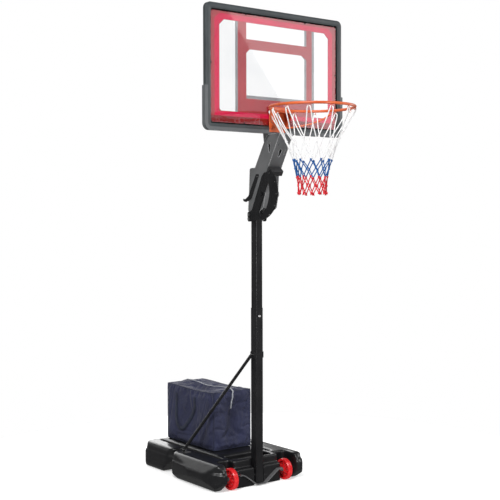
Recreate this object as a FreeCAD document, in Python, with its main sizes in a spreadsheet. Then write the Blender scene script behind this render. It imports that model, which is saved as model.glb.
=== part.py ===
import FreeCAD, Part
import math
import os
import re
import Sketcher
from FreeCAD import Placement, Rotation, Vector

# Portable basketball hoop.
# Row frame: +X to the shooter's right-hand side of the board as seen from the court, +Y towards the
# back of the base, +Z up. The origin is on the floor under the middle of the bounding box. Profiles
# are drawn in the pole's own frame, whose origin is on the pole's axis, and are placed by pole_y.

DIMENSIONS = {
    # pole
    "pole_y": -43,
    "pole_foot_z": 12,
    "lower_tube": 54,
    "lower_top_z": 1062,
    "upper_tube": 50,
    "upper_foot_z": 880,
    "upper_top_z": 1636,
    "tube_wall": 1.8,
    "tube_corner": 6,
    "joint_bolt_z": 1011,
    "joint_bolt_radius": 4,
    # base tank
    "band_height": 112,
    "hump_height": 160,
    "deck_height": 168,
    "front_floor": 122,
    "notch_height": 78,
    "spout_x": -88,
    "spout_y": 104,
    "spout_radius": 24,
    "cap_radius": 29,
    "cap_height": 17,
    # wheels
    "wheel_x": 203,
    "wheel_radius": 64,
    "wheel_width": 32,
    "axle_y": -8,
    "axle_radius": 6,
    "axle_half": 290,
    "running_gap": 0.05,
    # struts
    "strut_radius": 9.75,
    "strut_top_z": 782,
    "clamp_height": 36,
    # head and lift arm
    "pivot_y": -119,
    "pivot_z": 1738,
    "bolt_radius": 6,
    "carrier_pivot_y": -190,
    "carrier_pivot_z": 2030,
    "link_offset_y": 45,
    "link_offset_z": 15,
    "plate_inner_x": 54,
    "plate_thick": 4,
    "arm_half": 50,
    "sheet_thick": 3,
    "lock_hole_radius": 140,
    "lock_hole_step": 29.3,
    "lock_hole_size": 4.5,
    "pin_radius": 4.2,
    "lever_thick": 2.6,
    # board
    "board_width": 1000,
    "board_height": 697,
    "board_bottom_z": 2091,
    "board_front_y": -194,
    "frame_depth": 24,
    "frame_face": 32,
    "panel_thick": 4,
    "panel_front_y": -187,
    "pad_proud": 7,
    "pad_side_top_z": 2330,
    # rim and net
    "ring_radius": 236.6,
    "rod_radius": 8,
    "ring_y": -508,
    "ring_z": 2212,
    "bracket_width": 116,
    "bracket_top_z": 2238,
    "bracket_thick": 4,
    "net_drop": 474,
    "net_thick": 5,
    # bag
    "bag_half": 148,
    "bag_front_y": 243,
    "bag_rear_y": 780,
    "bag_bottom_z": 168.4,
    "bag_top_z": 534,
    "zip_width": 9,
}
size = dict(DIMENSIONS)

doc = FreeCAD.newDocument("portable_basketball_hoop")
sheet = doc.addObject("Spreadsheet::Sheet", "dimensions")
for row, (alias, value) in enumerate(DIMENSIONS.items(), start=1):
    sheet.set("A%d" % row, alias)
    sheet.set("B%d" % row, str(value))
    sheet.setAlias("B%d" % row, alias)
doc.recompute()

NODES = []
WORD = re.compile(r"[a-z][a-z_]*")
X_AXIS = Vector(1, 0, 0)
Y_AXIS = Vector(0, 1, 0)
Z_AXIS = Vector(0, 0, 1)
TURN = {"X": Rotation(Y_AXIS, 90), "Y": Rotation(X_AXIS, -90), "Z": Rotation()}


# ---------------------------------------------------------------- helpers

def bind(obj, prop, formula):
    """Bind a property to a formula in which the sheet's aliases stand as plain words."""
    text = str(formula)
    text = WORD.sub(lambda m: "dimensions." + m.group() if m.group() in size else m.group(), text)
    obj.setExpression(prop, text)


def node(obj, label):
    """Name an object as a finished sub-part."""
    obj.Label = label
    NODES.append(obj)
    return obj


def place(obj, x="0", y="0", z="0"):
    """Place an object at a point given in the pole's frame."""
    bind(obj, "Placement.Base.x", x)
    bind(obj, "Placement.Base.y", "pole_y + (%s)" % y)
    bind(obj, "Placement.Base.z", z)


def block(name, low, lengths):
    """A box from its low corner and its three lengths, all formulas."""
    obj = doc.addObject("Part::Box", name)
    for prop, formula in zip(("Length", "Width", "Height"), lengths):
        bind(obj, prop, formula)
    place(obj, *low)
    return obj


def rod(name, axis, start, radius, length):
    """A cylinder along X, Y or Z from its start point, all formulas."""
    obj = doc.addObject("Part::Cylinder", name)
    obj.Placement = Placement(Vector(), TURN[axis])
    bind(obj, "Radius", radius)
    bind(obj, "Height", length)
    place(obj, *start)
    return obj


def cut(name, base, *tools):
    obj = doc.addObject("Part::Cut", name)
    obj.Base = base
    obj.Tool = tools[0] if len(tools) == 1 else join(name + "_tools", *tools)
    return obj


def join(name, *shapes):
    obj = doc.addObject("Part::MultiFuse", name)
    obj.Shapes = list(shapes)
    return obj


def group(name, *shapes):
    """Identical pieces kept as separate solids in one node."""
    obj = doc.addObject("Part::Compound", name)
    obj.Links = list(shapes)
    return node(obj, name)


def body_at_pole(label):
    body = doc.addObject("PartDesign::Body", label)
    place(body)
    return body


def origin_plane(body, role):
    return next(f for f in body.Origin.OriginFeatures if f.Role == role)


def draw_outline(sketch, corners):
    """Draw a closed outline of (u, v, radius) corners: straight runs and tangent corner arcs.

    A radius that is too large for the runs beside its corner is reduced to fit them.
    """
    count = len(corners)
    pieces = []
    for i, (u, v, radius) in enumerate(corners):
        here = Vector(u, v, 0)
        before = Vector(*corners[i - 1][:2], 0)
        after = Vector(*corners[(i + 1) % count][:2], 0)
        if not radius:
            pieces.append((here, here, None))
            continue
        back = (before - here).normalize()
        ahead = (after - here).normalize()
        half = back.getAngle(ahead) / 2
        room = 0.48 * min((before - here).Length, (after - here).Length)
        radius = min(radius, room * math.tan(half))
        reach = radius / math.tan(half)
        centre = here + (back + ahead).normalize() * (radius / math.sin(half))
        pieces.append((here + back * reach, here + ahead * reach, (centre, radius)))
    for i, (enter, leave, arc) in enumerate(pieces):
        if arc:
            centre, radius = arc
            first = math.atan2(enter.y - centre.y, enter.x - centre.x)
            last = math.atan2(leave.y - centre.y, leave.x - centre.x)
            left_turn = (leave - enter).cross(centre - enter).z > 0
            if not left_turn:
                first, last = last, first
            circle = Part.Circle(centre, Z_AXIS, radius)
            sketch.addGeometry(Part.ArcOfCircle(circle, first, last), False)
        following = pieces[(i + 1) % count][0]
        if (following - leave).Length > 1e-6:
            sketch.addGeometry(Part.LineSegment(leave, following), False)


def draw_circles(sketch, circles):
    for u, v, radius in circles:
        sketch.addGeometry(Part.Circle(Vector(u, v, 0), Z_AXIS, radius), False)


def sketch_on(body, name, role, outlines=(), circles=(), offset=None):
    """A sketch on one of the body's own origin planes, moved along the plane's normal."""
    sketch = body.newObject("Sketcher::SketchObject", name)
    sketch.AttachmentSupport = [(origin_plane(body, role), "")]
    sketch.MapMode = "FlatFace"
    if offset is not None:
        bind(sketch, "AttachmentOffset.Base.z", offset)
    for corners in outlines:
        draw_outline(sketch, corners)
    draw_circles(sketch, circles)
    return sketch


def pad(body, name, sketch, length, middle=False, back=False):
    feature = body.newObject("PartDesign::Pad", name)
    feature.Profile = sketch
    bind(feature, "Length", length)
    feature.Midplane = middle
    feature.Reversed = back
    doc.recompute()
    return feature


def pocket(body, name, sketch, length, middle=False, back=False):
    """A pocket that must remove material."""
    before = body.Shape.Volume
    feature = body.newObject("PartDesign::Pocket", name)
    feature.Profile = sketch
    bind(feature, "Length", length)
    feature.Midplane = middle
    feature.Reversed = back
    doc.recompute()
    if not body.Shape.Volume < before:
        raise ValueError("%s cut nothing" % name)
    return feature


def polar(centre, radius, degrees):
    return (centre[0] + radius * math.cos(math.radians(degrees)),
            centre[1] + radius * math.sin(math.radians(degrees)))


def mirror_x(points):
    """The other half of an outline that is symmetric about the pole, in reverse order."""
    return [(-p[0],) + tuple(p[1:]) for p in reversed(points)]


def rounded_path(points, radii):
    """Straight runs joined by tangent arcs, as one wire."""
    edges = []
    start = points[0]
    for i in range(1, len(points) - 1):
        here = points[i]
        back = (points[i - 1] - here).normalize()
        ahead = (points[i + 1] - here).normalize()
        half = back.getAngle(ahead) / 2
        reach = radii[i - 1] / math.tan(half)
        middle = (back + ahead).normalize()
        enter = here + back * reach
        leave = here + ahead * reach
        apex = here + middle * (radii[i - 1] / math.sin(half) - radii[i - 1])
        edges.append(Part.LineSegment(start, enter).toShape())
        edges.append(Part.Arc(enter, apex, leave).toShape())
        start = leave
    edges.append(Part.LineSegment(start, points[-1]).toShape())
    return Part.Wire(edges)


def swept_rod(points, radii, radius):
    """A round rod along a path of runs and arcs."""
    path = rounded_path(points, radii)
    start = points[0]
    ring = Part.Wire(Part.Circle(start, points[1] - start, radius).toShape())
    return path.makePipeShell([ring], True, False)


def shape_feature(label, shape):
    """A free-form piece whose sizes the code reads from the sheet."""
    obj = doc.addObject("Part::Feature", label)
    obj.Shape = shape
    obj.Placement = Placement(Vector(0, size["pole_y"], 0), Rotation())
    return node(obj, label)


# ---------------------------------------------------------------- base tank

WHEEL_POCKET_IN = 168
WHEEL_POCKET_OUT = 258
WAIST_FRONT_Y = 452
WAIST_REAR_Y = 530
BASE_REAR_Y = 838.6


def make_base_tank():
    """The blow-moulded ballast tank: a wide lower band, a hump on it, and a raised deck."""
    body = body_at_pole("base_tank")
    right = [(WHEEL_POCKET_IN, -22, 12), (WHEEL_POCKET_IN, 66, 20), (WHEEL_POCKET_OUT, 66, 20),
             (WHEEL_POCKET_OUT, -70, 16), (300, -68, 40), (345, -12, 60), (364, 60, 90), (364, 214, 90),
             (330, WAIST_FRONT_Y - 14, 26), (272, WAIST_FRONT_Y + 22, 20), (270, WAIST_REAR_Y - 20, 20),
             (300, WAIST_REAR_Y + 10, 26), (300, BASE_REAR_Y, 64)]
    pole_slot = [(-30.5, -22, 0), (-30.5, 31, 4), (30.5, 31, 4), (30.5, -22, 0)]
    outline = mirror_x(right) + pole_slot + right
    band = sketch_on(body, "band_sketch", "XY_Plane", [outline])
    pad(body, "band", band, "band_height")

    right = [(WHEEL_POCKET_IN, 8, 16), (WHEEL_POCKET_IN, 66, 20), (WHEEL_POCKET_OUT, 66, 20),
             (WHEEL_POCKET_OUT, -56, 16), (290, -56, 30), (336, -4, 50), (356, 60, 80), (356, 200, 80),
             (320, WAIST_FRONT_Y - 18, 26), (264, WAIST_FRONT_Y + 18, 20), (262, WAIST_REAR_Y - 20, 20),
             (290, WAIST_REAR_Y + 12, 26), (290, BASE_REAR_Y - 12, 56)]
    outline = mirror_x(right) + [(-30.5, 8, 0), (-30.5, 31, 4), (30.5, 31, 4), (30.5, 8, 0)] + right
    hump = sketch_on(body, "hump_sketch", "XY_Plane", [outline])
    pad(body, "hump", hump, "hump_height")

    deck = sketch_on(body, "deck_sketch", "XY_Plane",
                     [[(-156, 168, 14), (156, 168, 14), (156, 790, 14), (-156, 790, 14)]])
    pad(body, "deck", deck, "deck_height")

    tray = sketch_on(body, "tray_sketch", "XY_Plane",
                     [[(-142, 40, 12), (142, 40, 12), (142, 150, 12), (-142, 150, 12)]],
                     offset="front_floor")
    pocket(body, "front_tray", tray, "deck_height - front_floor", back=True)

    grooves = [[(s * 172, 110, 5), (s * 190, 110, 5), (s * 190, 786, 5), (s * 172, 786, 5)] for s in (-1, 1)]
    sketch = sketch_on(body, "groove_sketch", "XY_Plane", grooves, offset="band_height + 24")
    pocket(body, "long_grooves", sketch, "hump_height", back=True)

    for side in (-1, 1):
        shoulder = [(side * 304, 161, 0), (side * 372, 161, 0), (side * 372, 92, 0)]
        keel = [(side * 308, -1, 0), (side * 372, -1, 0), (side * 372, 78, 0)]
        sketch = sketch_on(body, "side_slope_sketch", "XZ_Plane", [shoulder, keel])
        pocket(body, "side_slopes", sketch, "2 * %g" % BASE_REAR_Y, middle=True)
        shoulder = [(side * 270, 161, 0), (side * 306, 161, 0), (side * 306, 112, 0)]
        keel = [(side * 278, -1, 0), (side * 306, -1, 0), (side * 306, 34, 0)]
        sketch = sketch_on(body, "rear_slope_sketch", "XZ_Plane", [shoulder, keel],
                           offset="%g" % -(WAIST_REAR_Y - 20))
        pocket(body, "rear_slopes", sketch, "%g" % BASE_REAR_Y)
        brow = [(-26, 161, 0), (-106, 161, 0), (-106, 85, 0)]
        chin = [(4, -1, 0), (-100, -1, 0), (-100, 84, 0)]
        sketch = sketch_on(body, "front_slope_sketch", "YZ_Plane", [brow, chin], offset="%d * 246" % side)
        pocket(body, "front_slopes", sketch, "140", back=side > 0)

    start, end = WAIST_FRONT_Y + 8, WAIST_REAR_Y - 20
    waist = [[(s * 200, start, 6), (s * 320, start, 0), (s * 320, end, 0), (s * 200, end, 6)] for s in (-1, 1)]
    sketch = sketch_on(body, "waist_sketch", "XY_Plane", waist, offset="band_height - 14")
    pocket(body, "waist_grooves", sketch, "hump_height", back=True)

    top = size["notch_height"]
    arch = [(WAIST_FRONT_Y - 46, -1, 0), (WAIST_FRONT_Y + 34, top, 22), (WAIST_REAR_Y - 6, top, 22),
            (WAIST_REAR_Y + 82, -1, 0)]
    for side in (-1, 1):
        sketch = sketch_on(body, "arch_sketch", "YZ_Plane", [arch], offset="%d * 170" % side)
        pocket(body, "arch", sketch, "200", back=side > 0)

    spout = sketch_on(body, "spout_sketch", "XY_Plane",
                      circles=[(size["spout_x"], size["spout_y"], size["spout_radius"])],
                      offset="front_floor - 2")
    pad(body, "spout", spout, "cap_height - 3")

    hole = sketch_on(body, "axle_hole_sketch", "YZ_Plane",
                     circles=[(size["axle_y"], size["wheel_radius"], size["axle_radius"] + 0.3)])
    pocket(body, "axle_hole", hole, "2 * axle_half + 2", middle=True)
    return node(body, "base_tank")


def make_fill_cap():
    outer = rod("cap_outer", "Z", ("spout_x", "spout_y", "front_floor + 0.4"), "cap_radius", "cap_height")
    inner = rod("cap_inner", "Z", ("spout_x", "spout_y", "front_floor"), "spout_radius + 0.6",
                "cap_height - 4")
    ribs = []
    for i in range(16):
        x, y = polar((size["spout_x"], size["spout_y"]), size["cap_radius"], i * 22.5)
        ribs.append(rod("cap_rib", "Z", (x, y, "front_floor + 2"), "1.8", "cap_height - 4"))
    cup = cut("cap_cup", join("cap_ribbed", outer, *ribs), inner)
    return node(cup, "fill_cap")


# ---------------------------------------------------------------- wheels and axle

def make_wheel(label, side):
    """One moulded wheel: stepped rim, recessed web with six windows, and a hub on the axle."""
    body = doc.addObject("PartDesign::Body", label)
    place(body, "%d * wheel_x" % side, "axle_y", "wheel_radius")
    bore = size["axle_radius"] + size["running_gap"]
    rim = size["wheel_radius"]
    half = size["wheel_width"] / 2
    section = [(bore, -half - 1, 0), (17, -half - 1, 1.5), (17, -5, 2), (rim - 16, -5, 2),
               (rim - 14, -half + 1, 1.5), (rim - 4, -half, 2), (rim, -half + 5, 2), (rim, -3.5, 0.8),
               (rim - 2.2, -2.5, 0.6), (rim - 2.2, 2.5, 0.6), (rim, 3.5, 0.8), (rim, half - 5, 2),
               (rim - 4, half, 2), (rim - 14, half - 1, 1.5), (rim - 16, 5, 2), (17, 5, 2),
               (17, half + 1, 1.5), (bore, half + 1, 0)]
    sketch = sketch_on(body, label + "_section", "XZ_Plane", [[(x, r, c) for r, x, c in section]])
    turn = body.newObject("PartDesign::Revolution", label + "_turned")
    turn.Profile = sketch
    turn.ReferenceAxis = (sketch, ["H_Axis"])
    turn.Angle = 360
    doc.recompute()
    window = sketch_on(body, label + "_window", "YZ_Plane", circles=[(32.5, 0, 8.5)])
    opening = pocket(body, label + "_windows", window, "wheel_width", middle=True)
    pattern = body.newObject("PartDesign::PolarPattern", label + "_pattern")
    pattern.Originals = [opening]
    pattern.Axis = (origin_axis(body, "X_Axis"), [""])
    pattern.Angle = 360
    pattern.Occurrences = 6
    body.Tip = pattern
    doc.recompute()
    return node(body, label)


def origin_axis(body, role):
    return next(f for f in body.Origin.OriginFeatures if f.Role == role)


def make_axle():
    axle = rod("axle_rod", "X", ("-axle_half + 1", "axle_y", "wheel_radius"), "axle_radius",
               "2 * axle_half - 2")
    return node(axle, "wheel_axle")


def make_washers():
    washers = []
    gap = "wheel_width / 2 + 1.3"
    for side in (-1, 1):
        for face, start in ((-1, "%d * wheel_x - (%s) - 1.6" % (side, gap)),
                            (1, "%d * wheel_x + %s" % (side, gap))):
            ring = rod("washer_ring", "X", (start, "axle_y", "wheel_radius"), "13", "1.6")
            bore = rod("washer_bore", "X", (start, "axle_y", "wheel_radius"), "axle_radius + 0.02", "1.6")
            washers.append(cut("washer", ring, bore))
    group("wheel_washers", *washers)


# ---------------------------------------------------------------- pole, foot bracket and struts

def square_ring(outer, wall, corner):
    half = outer / 2
    inner = half - wall
    signs = ((-1, -1), (1, -1), (1, 1), (-1, 1))
    return [[(sx * half, sy * half, corner) for sx, sy in signs],
            [(sx * inner, sy * inner, corner - wall) for sx, sy in signs]]


def make_tube(label, outer, foot, top):
    body = body_at_pole(label)
    rings = square_ring(size[outer], size["tube_wall"], size["tube_corner"])
    sketch = sketch_on(body, label + "_section", "XY_Plane", rings, offset=foot)
    pad(body, label + "_tube", sketch, "%s - %s" % (top, foot))
    return body


def make_pole():
    lower = make_tube("pole_lower", "lower_tube", "pole_foot_z", "lower_top_z")
    hole = sketch_on(lower, "lower_axle_hole", "YZ_Plane",
                     circles=[(size["axle_y"], size["wheel_radius"], size["axle_radius"] + 0.2),
                              (8, size["strut_top_z"], 4.3)])
    pocket(lower, "lower_cross_holes", hole, "80", middle=True)
    bolt = sketch_on(lower, "lower_bolt_hole", "XZ_Plane",
                     circles=[(0, size["joint_bolt_z"], size["joint_bolt_radius"] + 0.2)])
    pocket(lower, "lower_bolt_holes", bolt, "80", middle=True)
    node(lower, "pole_lower")

    upper = make_tube("pole_upper", "upper_tube", "upper_foot_z", "upper_top_z")
    bolt = sketch_on(upper, "upper_bolt_hole", "XZ_Plane",
                     circles=[(0, size["joint_bolt_z"], size["joint_bolt_radius"] + 0.2)])
    pocket(upper, "upper_bolt_holes", bolt, "80", middle=True)
    cross = sketch_on(upper, "head_bolt_hole", "YZ_Plane",
                      circles=[(y, z, size["bolt_radius"] + 0.2) for y, z in HEAD_BOLTS])
    pocket(upper, "head_bolt_holes", cross, "80", middle=True)
    node(upper, "pole_upper")

    half = "upper_tube / 2"
    lid = block("cap_lid", ("-%s" % half, "-%s" % half, "upper_top_z"), ("upper_tube", "upper_tube", "4"))
    inset = "upper_tube / 2 - tube_wall - 0.2"
    plug = block("cap_plug", ("-(%s)" % inset, "-(%s)" % inset, "upper_top_z - 12"),
                 ("2 * (%s)" % inset, "2 * (%s)" % inset, "12"))
    trimmed = doc.addObject("Part::Chamfer", "cap_plug_trimmed")
    trimmed.Base = plug
    doc.recompute()
    trimmed.Edges = [(i + 1, 4.5, 4.5) for i, e in enumerate(plug.Shape.Edges)
                     if abs(e.tangentAt(e.FirstParameter).z) > 0.9]
    node(join("pole_top_cap_shape", lid, trimmed), "pole_top_cap")


def make_joint_bolt():
    start = "-lower_tube / 2"
    head = doc.addObject("Part::Sphere", "joint_bolt_dome")
    bind(head, "Radius", "11")
    place(head, "0", "-lower_tube / 2 + 4.5", "joint_bolt_z")
    keep = rod("joint_bolt_head", "Y", ("0", start + " - 6", "joint_bolt_z"), "9", "6")
    dome = doc.addObject("Part::Common", "joint_bolt_dome_head")
    dome.Base = head
    dome.Tool = keep
    shank = rod("joint_bolt_shank", "Y", ("0", start + " - 1", "joint_bolt_z"), "joint_bolt_radius",
                "lower_tube + 13")
    node(join("joint_bolt", dome, shank), "pole_joint_bolt")
    hexagon = doc.addObject("Part::Prism", "joint_nut_hexagon")
    hexagon.Polygon = 6
    hexagon.Placement = Placement(Vector(), TURN["Y"])
    bind(hexagon, "Circumradius", "7.5")
    bind(hexagon, "Height", "6.5")
    place(hexagon, "0", "lower_tube / 2", "joint_bolt_z")
    bore = rod("joint_nut_bore", "Y", ("0", "lower_tube / 2", "joint_bolt_z"), "joint_bolt_radius", "7")
    node(cut("joint_nut", hexagon, bore), "pole_joint_nut")


def make_foot_bracket():
    """The bent strap that cradles the foot of the pole and bolts to the tank on both sides."""
    body = body_at_pole("foot_bracket")
    right = [(31.5, 8, 3), (112, 66, 14), (134, 79, 10), (160, 79, 0), (160, 84, 0), (132.5, 84, 10),
             (110, 71, 14), (29, 12, 0)]
    outline = right + mirror_x(right)
    sketch = sketch_on(body, "foot_strap_section", "XZ_Plane", [outline], offset="22.1")
    pad(body, "foot_strap", sketch, "26")
    node(body, "foot_bracket")
    bolts = []
    for side in (-1, 1):
        head = prism_x("foot_bolt_head", "0", "-36", "0", "8", "5")
        head.Placement = Placement(Vector(), TURN["Z"])
        place(head, "%d * 149" % side, "-36", "84.02")
        bolts.append(head)
    group("foot_bolts", *bolts)


STRUT_FOOT = Vector(272, 380, 165)


def make_strut(label, side):
    """A round tube with its two ends pressed flat and bolted."""
    radius = size["strut_radius"]
    top = Vector(side * 37, 14, size["strut_top_z"] - 8)
    foot = Vector(side * STRUT_FOOT.x, STRUT_FOOT.y, STRUT_FOOT.z + 14)
    along = (foot - top).normalize()
    length = (foot - top).Length
    outer = Part.makeCylinder(radius, length - 44, top + along * 22, along)
    inner = Part.makeCylinder(radius - 1.5, length - 40, top + along * 20, along)
    tube = outer.cut(inner)
    tabs = []
    for end, inward in ((top, along), (foot, along * -1)):
        tab = Part.makeBox(5, 2 * radius, 46, Vector(-2.5, -radius, -14))
        tab.Placement = Placement(end, Rotation(Z_AXIS, inward).multiply(Rotation(Z_AXIS, 0)))
        tabs.append(tab)
    solid = tube.fuse(tabs).removeSplitter()
    clear = size["lower_tube"] / 2 + 3.4
    ear_x = side * (STRUT_FOOT.x - 3.5)
    collar = Part.makeBox(2 * clear, 2 * clear, 60, Vector(-clear, -clear, size["strut_top_z"] - 30))
    ear = Part.makeBox(3.2, 28.4, 60, Vector(ear_x - 1.6, STRUT_FOOT.y - 14.2, 150))
    foot_bolt = Part.makeCylinder(4.1, 60, Vector(foot.x - 30, STRUT_FOOT.y, foot.z), X_AXIS)
    top_bolt = Part.makeCylinder(4.1, 60, Vector(side * 40 - 30, 8, size["strut_top_z"]), X_AXIS)
    foot_plate = Part.makeBox(80, 80, 13.2, Vector(foot.x - 40, STRUT_FOOT.y - 40, 150))
    solid = solid.cut([collar, ear, foot_plate, foot_bolt, top_bolt])
    solid = max(solid.Solids, key=lambda piece: piece.Volume)
    return shape_feature(label, solid)


def make_strut_fittings():
    """The collar on the pole, the two foot brackets on the tank, and their bolts."""
    half = size["lower_tube"] / 2 + 0.3
    body = body_at_pole("strut_collar")
    ring = [(-half - 3, -half - 3, 7), (half + 3, -half - 3, 7), (half + 3, half + 3, 7),
            (-half - 3, half + 3, 7)]
    hollow = [(-half, -half, 5), (half, -half, 5), (half, half, 5), (-half, half, 5)]
    sketch = sketch_on(body, "collar_section", "XY_Plane", [ring, hollow],
                       offset="strut_top_z - clamp_height / 2")
    pad(body, "collar", sketch, "clamp_height")
    hole = sketch_on(body, "collar_hole_sketch", "YZ_Plane", circles=[(8, size["strut_top_z"], 4.3)])
    pocket(body, "collar_holes", hole, "90", middle=True)
    node(body, "strut_collar")

    bolts = []
    brackets = []
    for side in (-1, 1):
        x = side * (STRUT_FOOT.x - 16)
        base = block("strut_foot_base", (x - 20, STRUT_FOOT.y - 20, "hump_height"), ("40", "44", "3"))
        ear = block("strut_foot_ear", (side * (STRUT_FOOT.x - 3.5) - 1.5, STRUT_FOOT.y - 14, "hump_height"),
                    ("3", "28", "28"))
        foot_pin = ("%g" % (side * (STRUT_FOOT.x + 1) - 11), STRUT_FOOT.y, STRUT_FOOT.z + 14)
        bore = rod("strut_foot_bore", "X", foot_pin, "4.05", "22")
        brackets.append(cut("strut_foot_bracket", join("strut_foot_angle", base, ear), bore))
        bolts.append(rod("strut_foot_bolt", "X", foot_pin, "4", "22"))
        start = "-44" if side < 0 else "24"
        bolts.append(rod("strut_top_bolt", "X", (start, "8", "strut_top_z"), "4", "20"))
    group("strut_foot_brackets", *brackets)
    group("strut_bolts", *bolts)


HEAD_BOLTS = [(-2, 1592), (-2, 1616)]


# ---------------------------------------------------------------- head plates and lift arm

PIVOT = (size["pivot_y"], size["pivot_z"])
CARRIER_PIVOT = (size["carrier_pivot_y"], size["carrier_pivot_z"])
LINK_LOWER = (PIVOT[0] + size["link_offset_y"], PIVOT[1] + size["link_offset_z"])
LINK_UPPER = (CARRIER_PIVOT[0] + size["link_offset_y"], CARRIER_PIVOT[1] + size["link_offset_z"])
LOCK_START = 122
LOCK_HOLES = [polar(PIVOT, size["lock_hole_radius"], LOCK_START + i * size["lock_hole_step"])
              for i in range(5)]


def plate(label, side, inner, thick, outlines, circles):
    """A flat plate parallel to the YZ plane, on one side of the pole."""
    body = body_at_pole(label)
    offset = "%d * (%s)" % (side, inner)
    sketch = sketch_on(body, label + "_outline", "YZ_Plane", outlines, circles, offset=offset)
    pad(body, label + "_pad", sketch, thick, back=side < 0)
    return node(body, label)


CRESCENT_CENTRE = (-113, 1747)
CRESCENT_RADIUS = 160
WINDOW_CENTRE = (-42, 1748)
WINDOW_RADIUS = 153


def make_head_plates():
    """Two bars on the pole that carry the main pivot. The left one has a crescent with lock holes."""
    bar = [(12, 1576, 12), (14, 1632, 10), (-26, 1640, 30), (-124, 1842, 10), (-152, 1866, 8),
           (-190, 1818, 16), (-96, 1640, 30), (-112, 1606, 8), (-56, 1578, 14)]
    spare_tip = [(-40, 1700, 0), (-40, 1960, 0), (-210, 1960, 0), (-206, 1878, 0), (-150, 1858, 0),
                 (-100, 1780, 0)]
    lower_tip = [(-84, 1604, 0), (-20, 1700, 0), (60, 1700, 0), (60, 1560, 0), (-90, 1560, 0)]
    holes = [(y, z, size["bolt_radius"] + 0.3) for y, z in HEAD_BOLTS]
    holes.append((*PIVOT, size["bolt_radius"] + 0.1))
    lock_holes = [(y, z, size["lock_hole_size"]) for y, z in LOCK_HOLES]

    body = body_at_pole("head_plate_left")
    disc = sketch_on(body, "disc_sketch", "YZ_Plane", circles=[(*CRESCENT_CENTRE, CRESCENT_RADIUS)],
                     offset="-plate_inner_x")
    pad(body, "disc", disc, "plate_thick", back=True)
    window = sketch_on(body, "window_sketch", "YZ_Plane", circles=[(*WINDOW_CENTRE, WINDOW_RADIUS)],
                       offset="-plate_inner_x")
    pocket(body, "window", window, "plate_thick")
    tips = sketch_on(body, "tips_sketch", "YZ_Plane", [spare_tip, lower_tip], offset="-plate_inner_x")
    pocket(body, "tips", tips, "plate_thick")
    strip = sketch_on(body, "left_bar_sketch", "YZ_Plane", [bar], offset="-plate_inner_x")
    pad(body, "left_bar", strip, "plate_thick", back=True)
    drilled = sketch_on(body, "left_holes_sketch", "YZ_Plane", circles=holes + lock_holes,
                        offset="-plate_inner_x")
    pocket(body, "left_holes", drilled, "plate_thick")
    node(body, "head_plate_left")

    plain_bar = [(12, 1576, 12), (14, 1632, 10), (-12, 1668, 30), (-92, 1754, 18), (-116, 1764, 16),
                 (-140, 1752, 14), (-141, 1728, 14), (-60, 1640, 30), (-26, 1606, 20), (-20, 1578, 10)]
    plate("head_plate_right", 1, "plate_inner_x", "plate_thick", [plain_bar], holes)


def make_link_posts():
    """Two inner plates on the pole's sides that carry the level link's lower pivot."""
    y, z = LINK_LOWER
    outline = [(20, 1574, 10), (20, 1644, 20), (y + 20, z - 4, 18), (y + 16, z + 16, 14),
               (y - 16, z + 16, 14), (y - 16, z - 14, 18), (-20, 1676, 30), (-20, 1574, 10)]
    holes = [(hy, hz, size["bolt_radius"] + 0.3) for hy, hz in HEAD_BOLTS]
    holes.append((y, z, 5.1))
    for label, side in (("link_post_left", -1), ("link_post_right", 1)):
        plate(label, side, "upper_tube / 2 + 0.1", "3.5", [outline], holes)


def make_head_hardware():
    spacers = []
    bolts = []
    nuts = []
    for y, z in HEAD_BOLTS:
        for side in (-1, 1):
            start = "%d * plate_inner_x" % side if side < 0 else "upper_tube / 2 + 3.6"
            length = "plate_inner_x - upper_tube / 2 - 3.6"
            outer = rod("spacer_outer", "X", (start, y, z), "10", length)
            inner = rod("spacer_inner", "X", (start, y, z), "bolt_radius + 0.2", length)
            spacers.append(cut("spacer", outer, inner))
        bolts.append(hex_bolt("head_bolt", y, z, "bolt_radius", "plate_inner_x + plate_thick", 10))
        nuts.append(hex_nut("head_nut", y, z, "bolt_radius", "plate_inner_x + plate_thick", 10))
    group("head_spacers", *spacers)
    group("head_bolts", *bolts)
    y, z = PIVOT
    node(hex_bolt("pivot_bolt", y, z, "bolt_radius", "plate_inner_x + plate_thick", 11), "main_pivot_bolt")
    nuts.append(hex_nut("pivot_nut", y, z, "bolt_radius", "plate_inner_x + plate_thick", 11))
    group("head_nuts", *nuts)
    y, z = LINK_LOWER
    node(hex_bolt("link_lower_bolt_shape", y, z, "5", "upper_tube / 2 + 3.6", 8), "link_lower_bolt")


def prism_x(name, start, y, z, circumradius, height):
    hexagon = doc.addObject("Part::Prism", name)
    hexagon.Polygon = 6
    hexagon.Placement = Placement(Vector(), TURN["X"])
    bind(hexagon, "Circumradius", circumradius)
    bind(hexagon, "Height", height)
    place(hexagon, start, y, z)
    return hexagon


def hex_bolt(name, y, z, radius, half, across):
    """A bolt along X whose head bears on the left face at x = -half and that passes the right face."""
    head = prism_x(name + "_head", "-(%s) - 6" % half, y, z, across, "6")
    shank = rod(name + "_shank", "X", ("-(%s) - 1" % half, y, z), radius, "2 * (%s) + 12" % half)
    return join(name, head, shank)


def hex_nut(name, y, z, radius, half, across):
    body = prism_x(name + "_body", half, y, z, across, "7")
    bore = rod(name + "_bore", "X", (half, y, z), radius, "8")
    return cut(name, body, bore)


LEVER_PIVOT = (-72, 1840)
FRONT_LOW = (-152, 1850)
FRONT_TOP = (-284, 2083)
WEB_FOOT_Z = 1656


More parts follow.
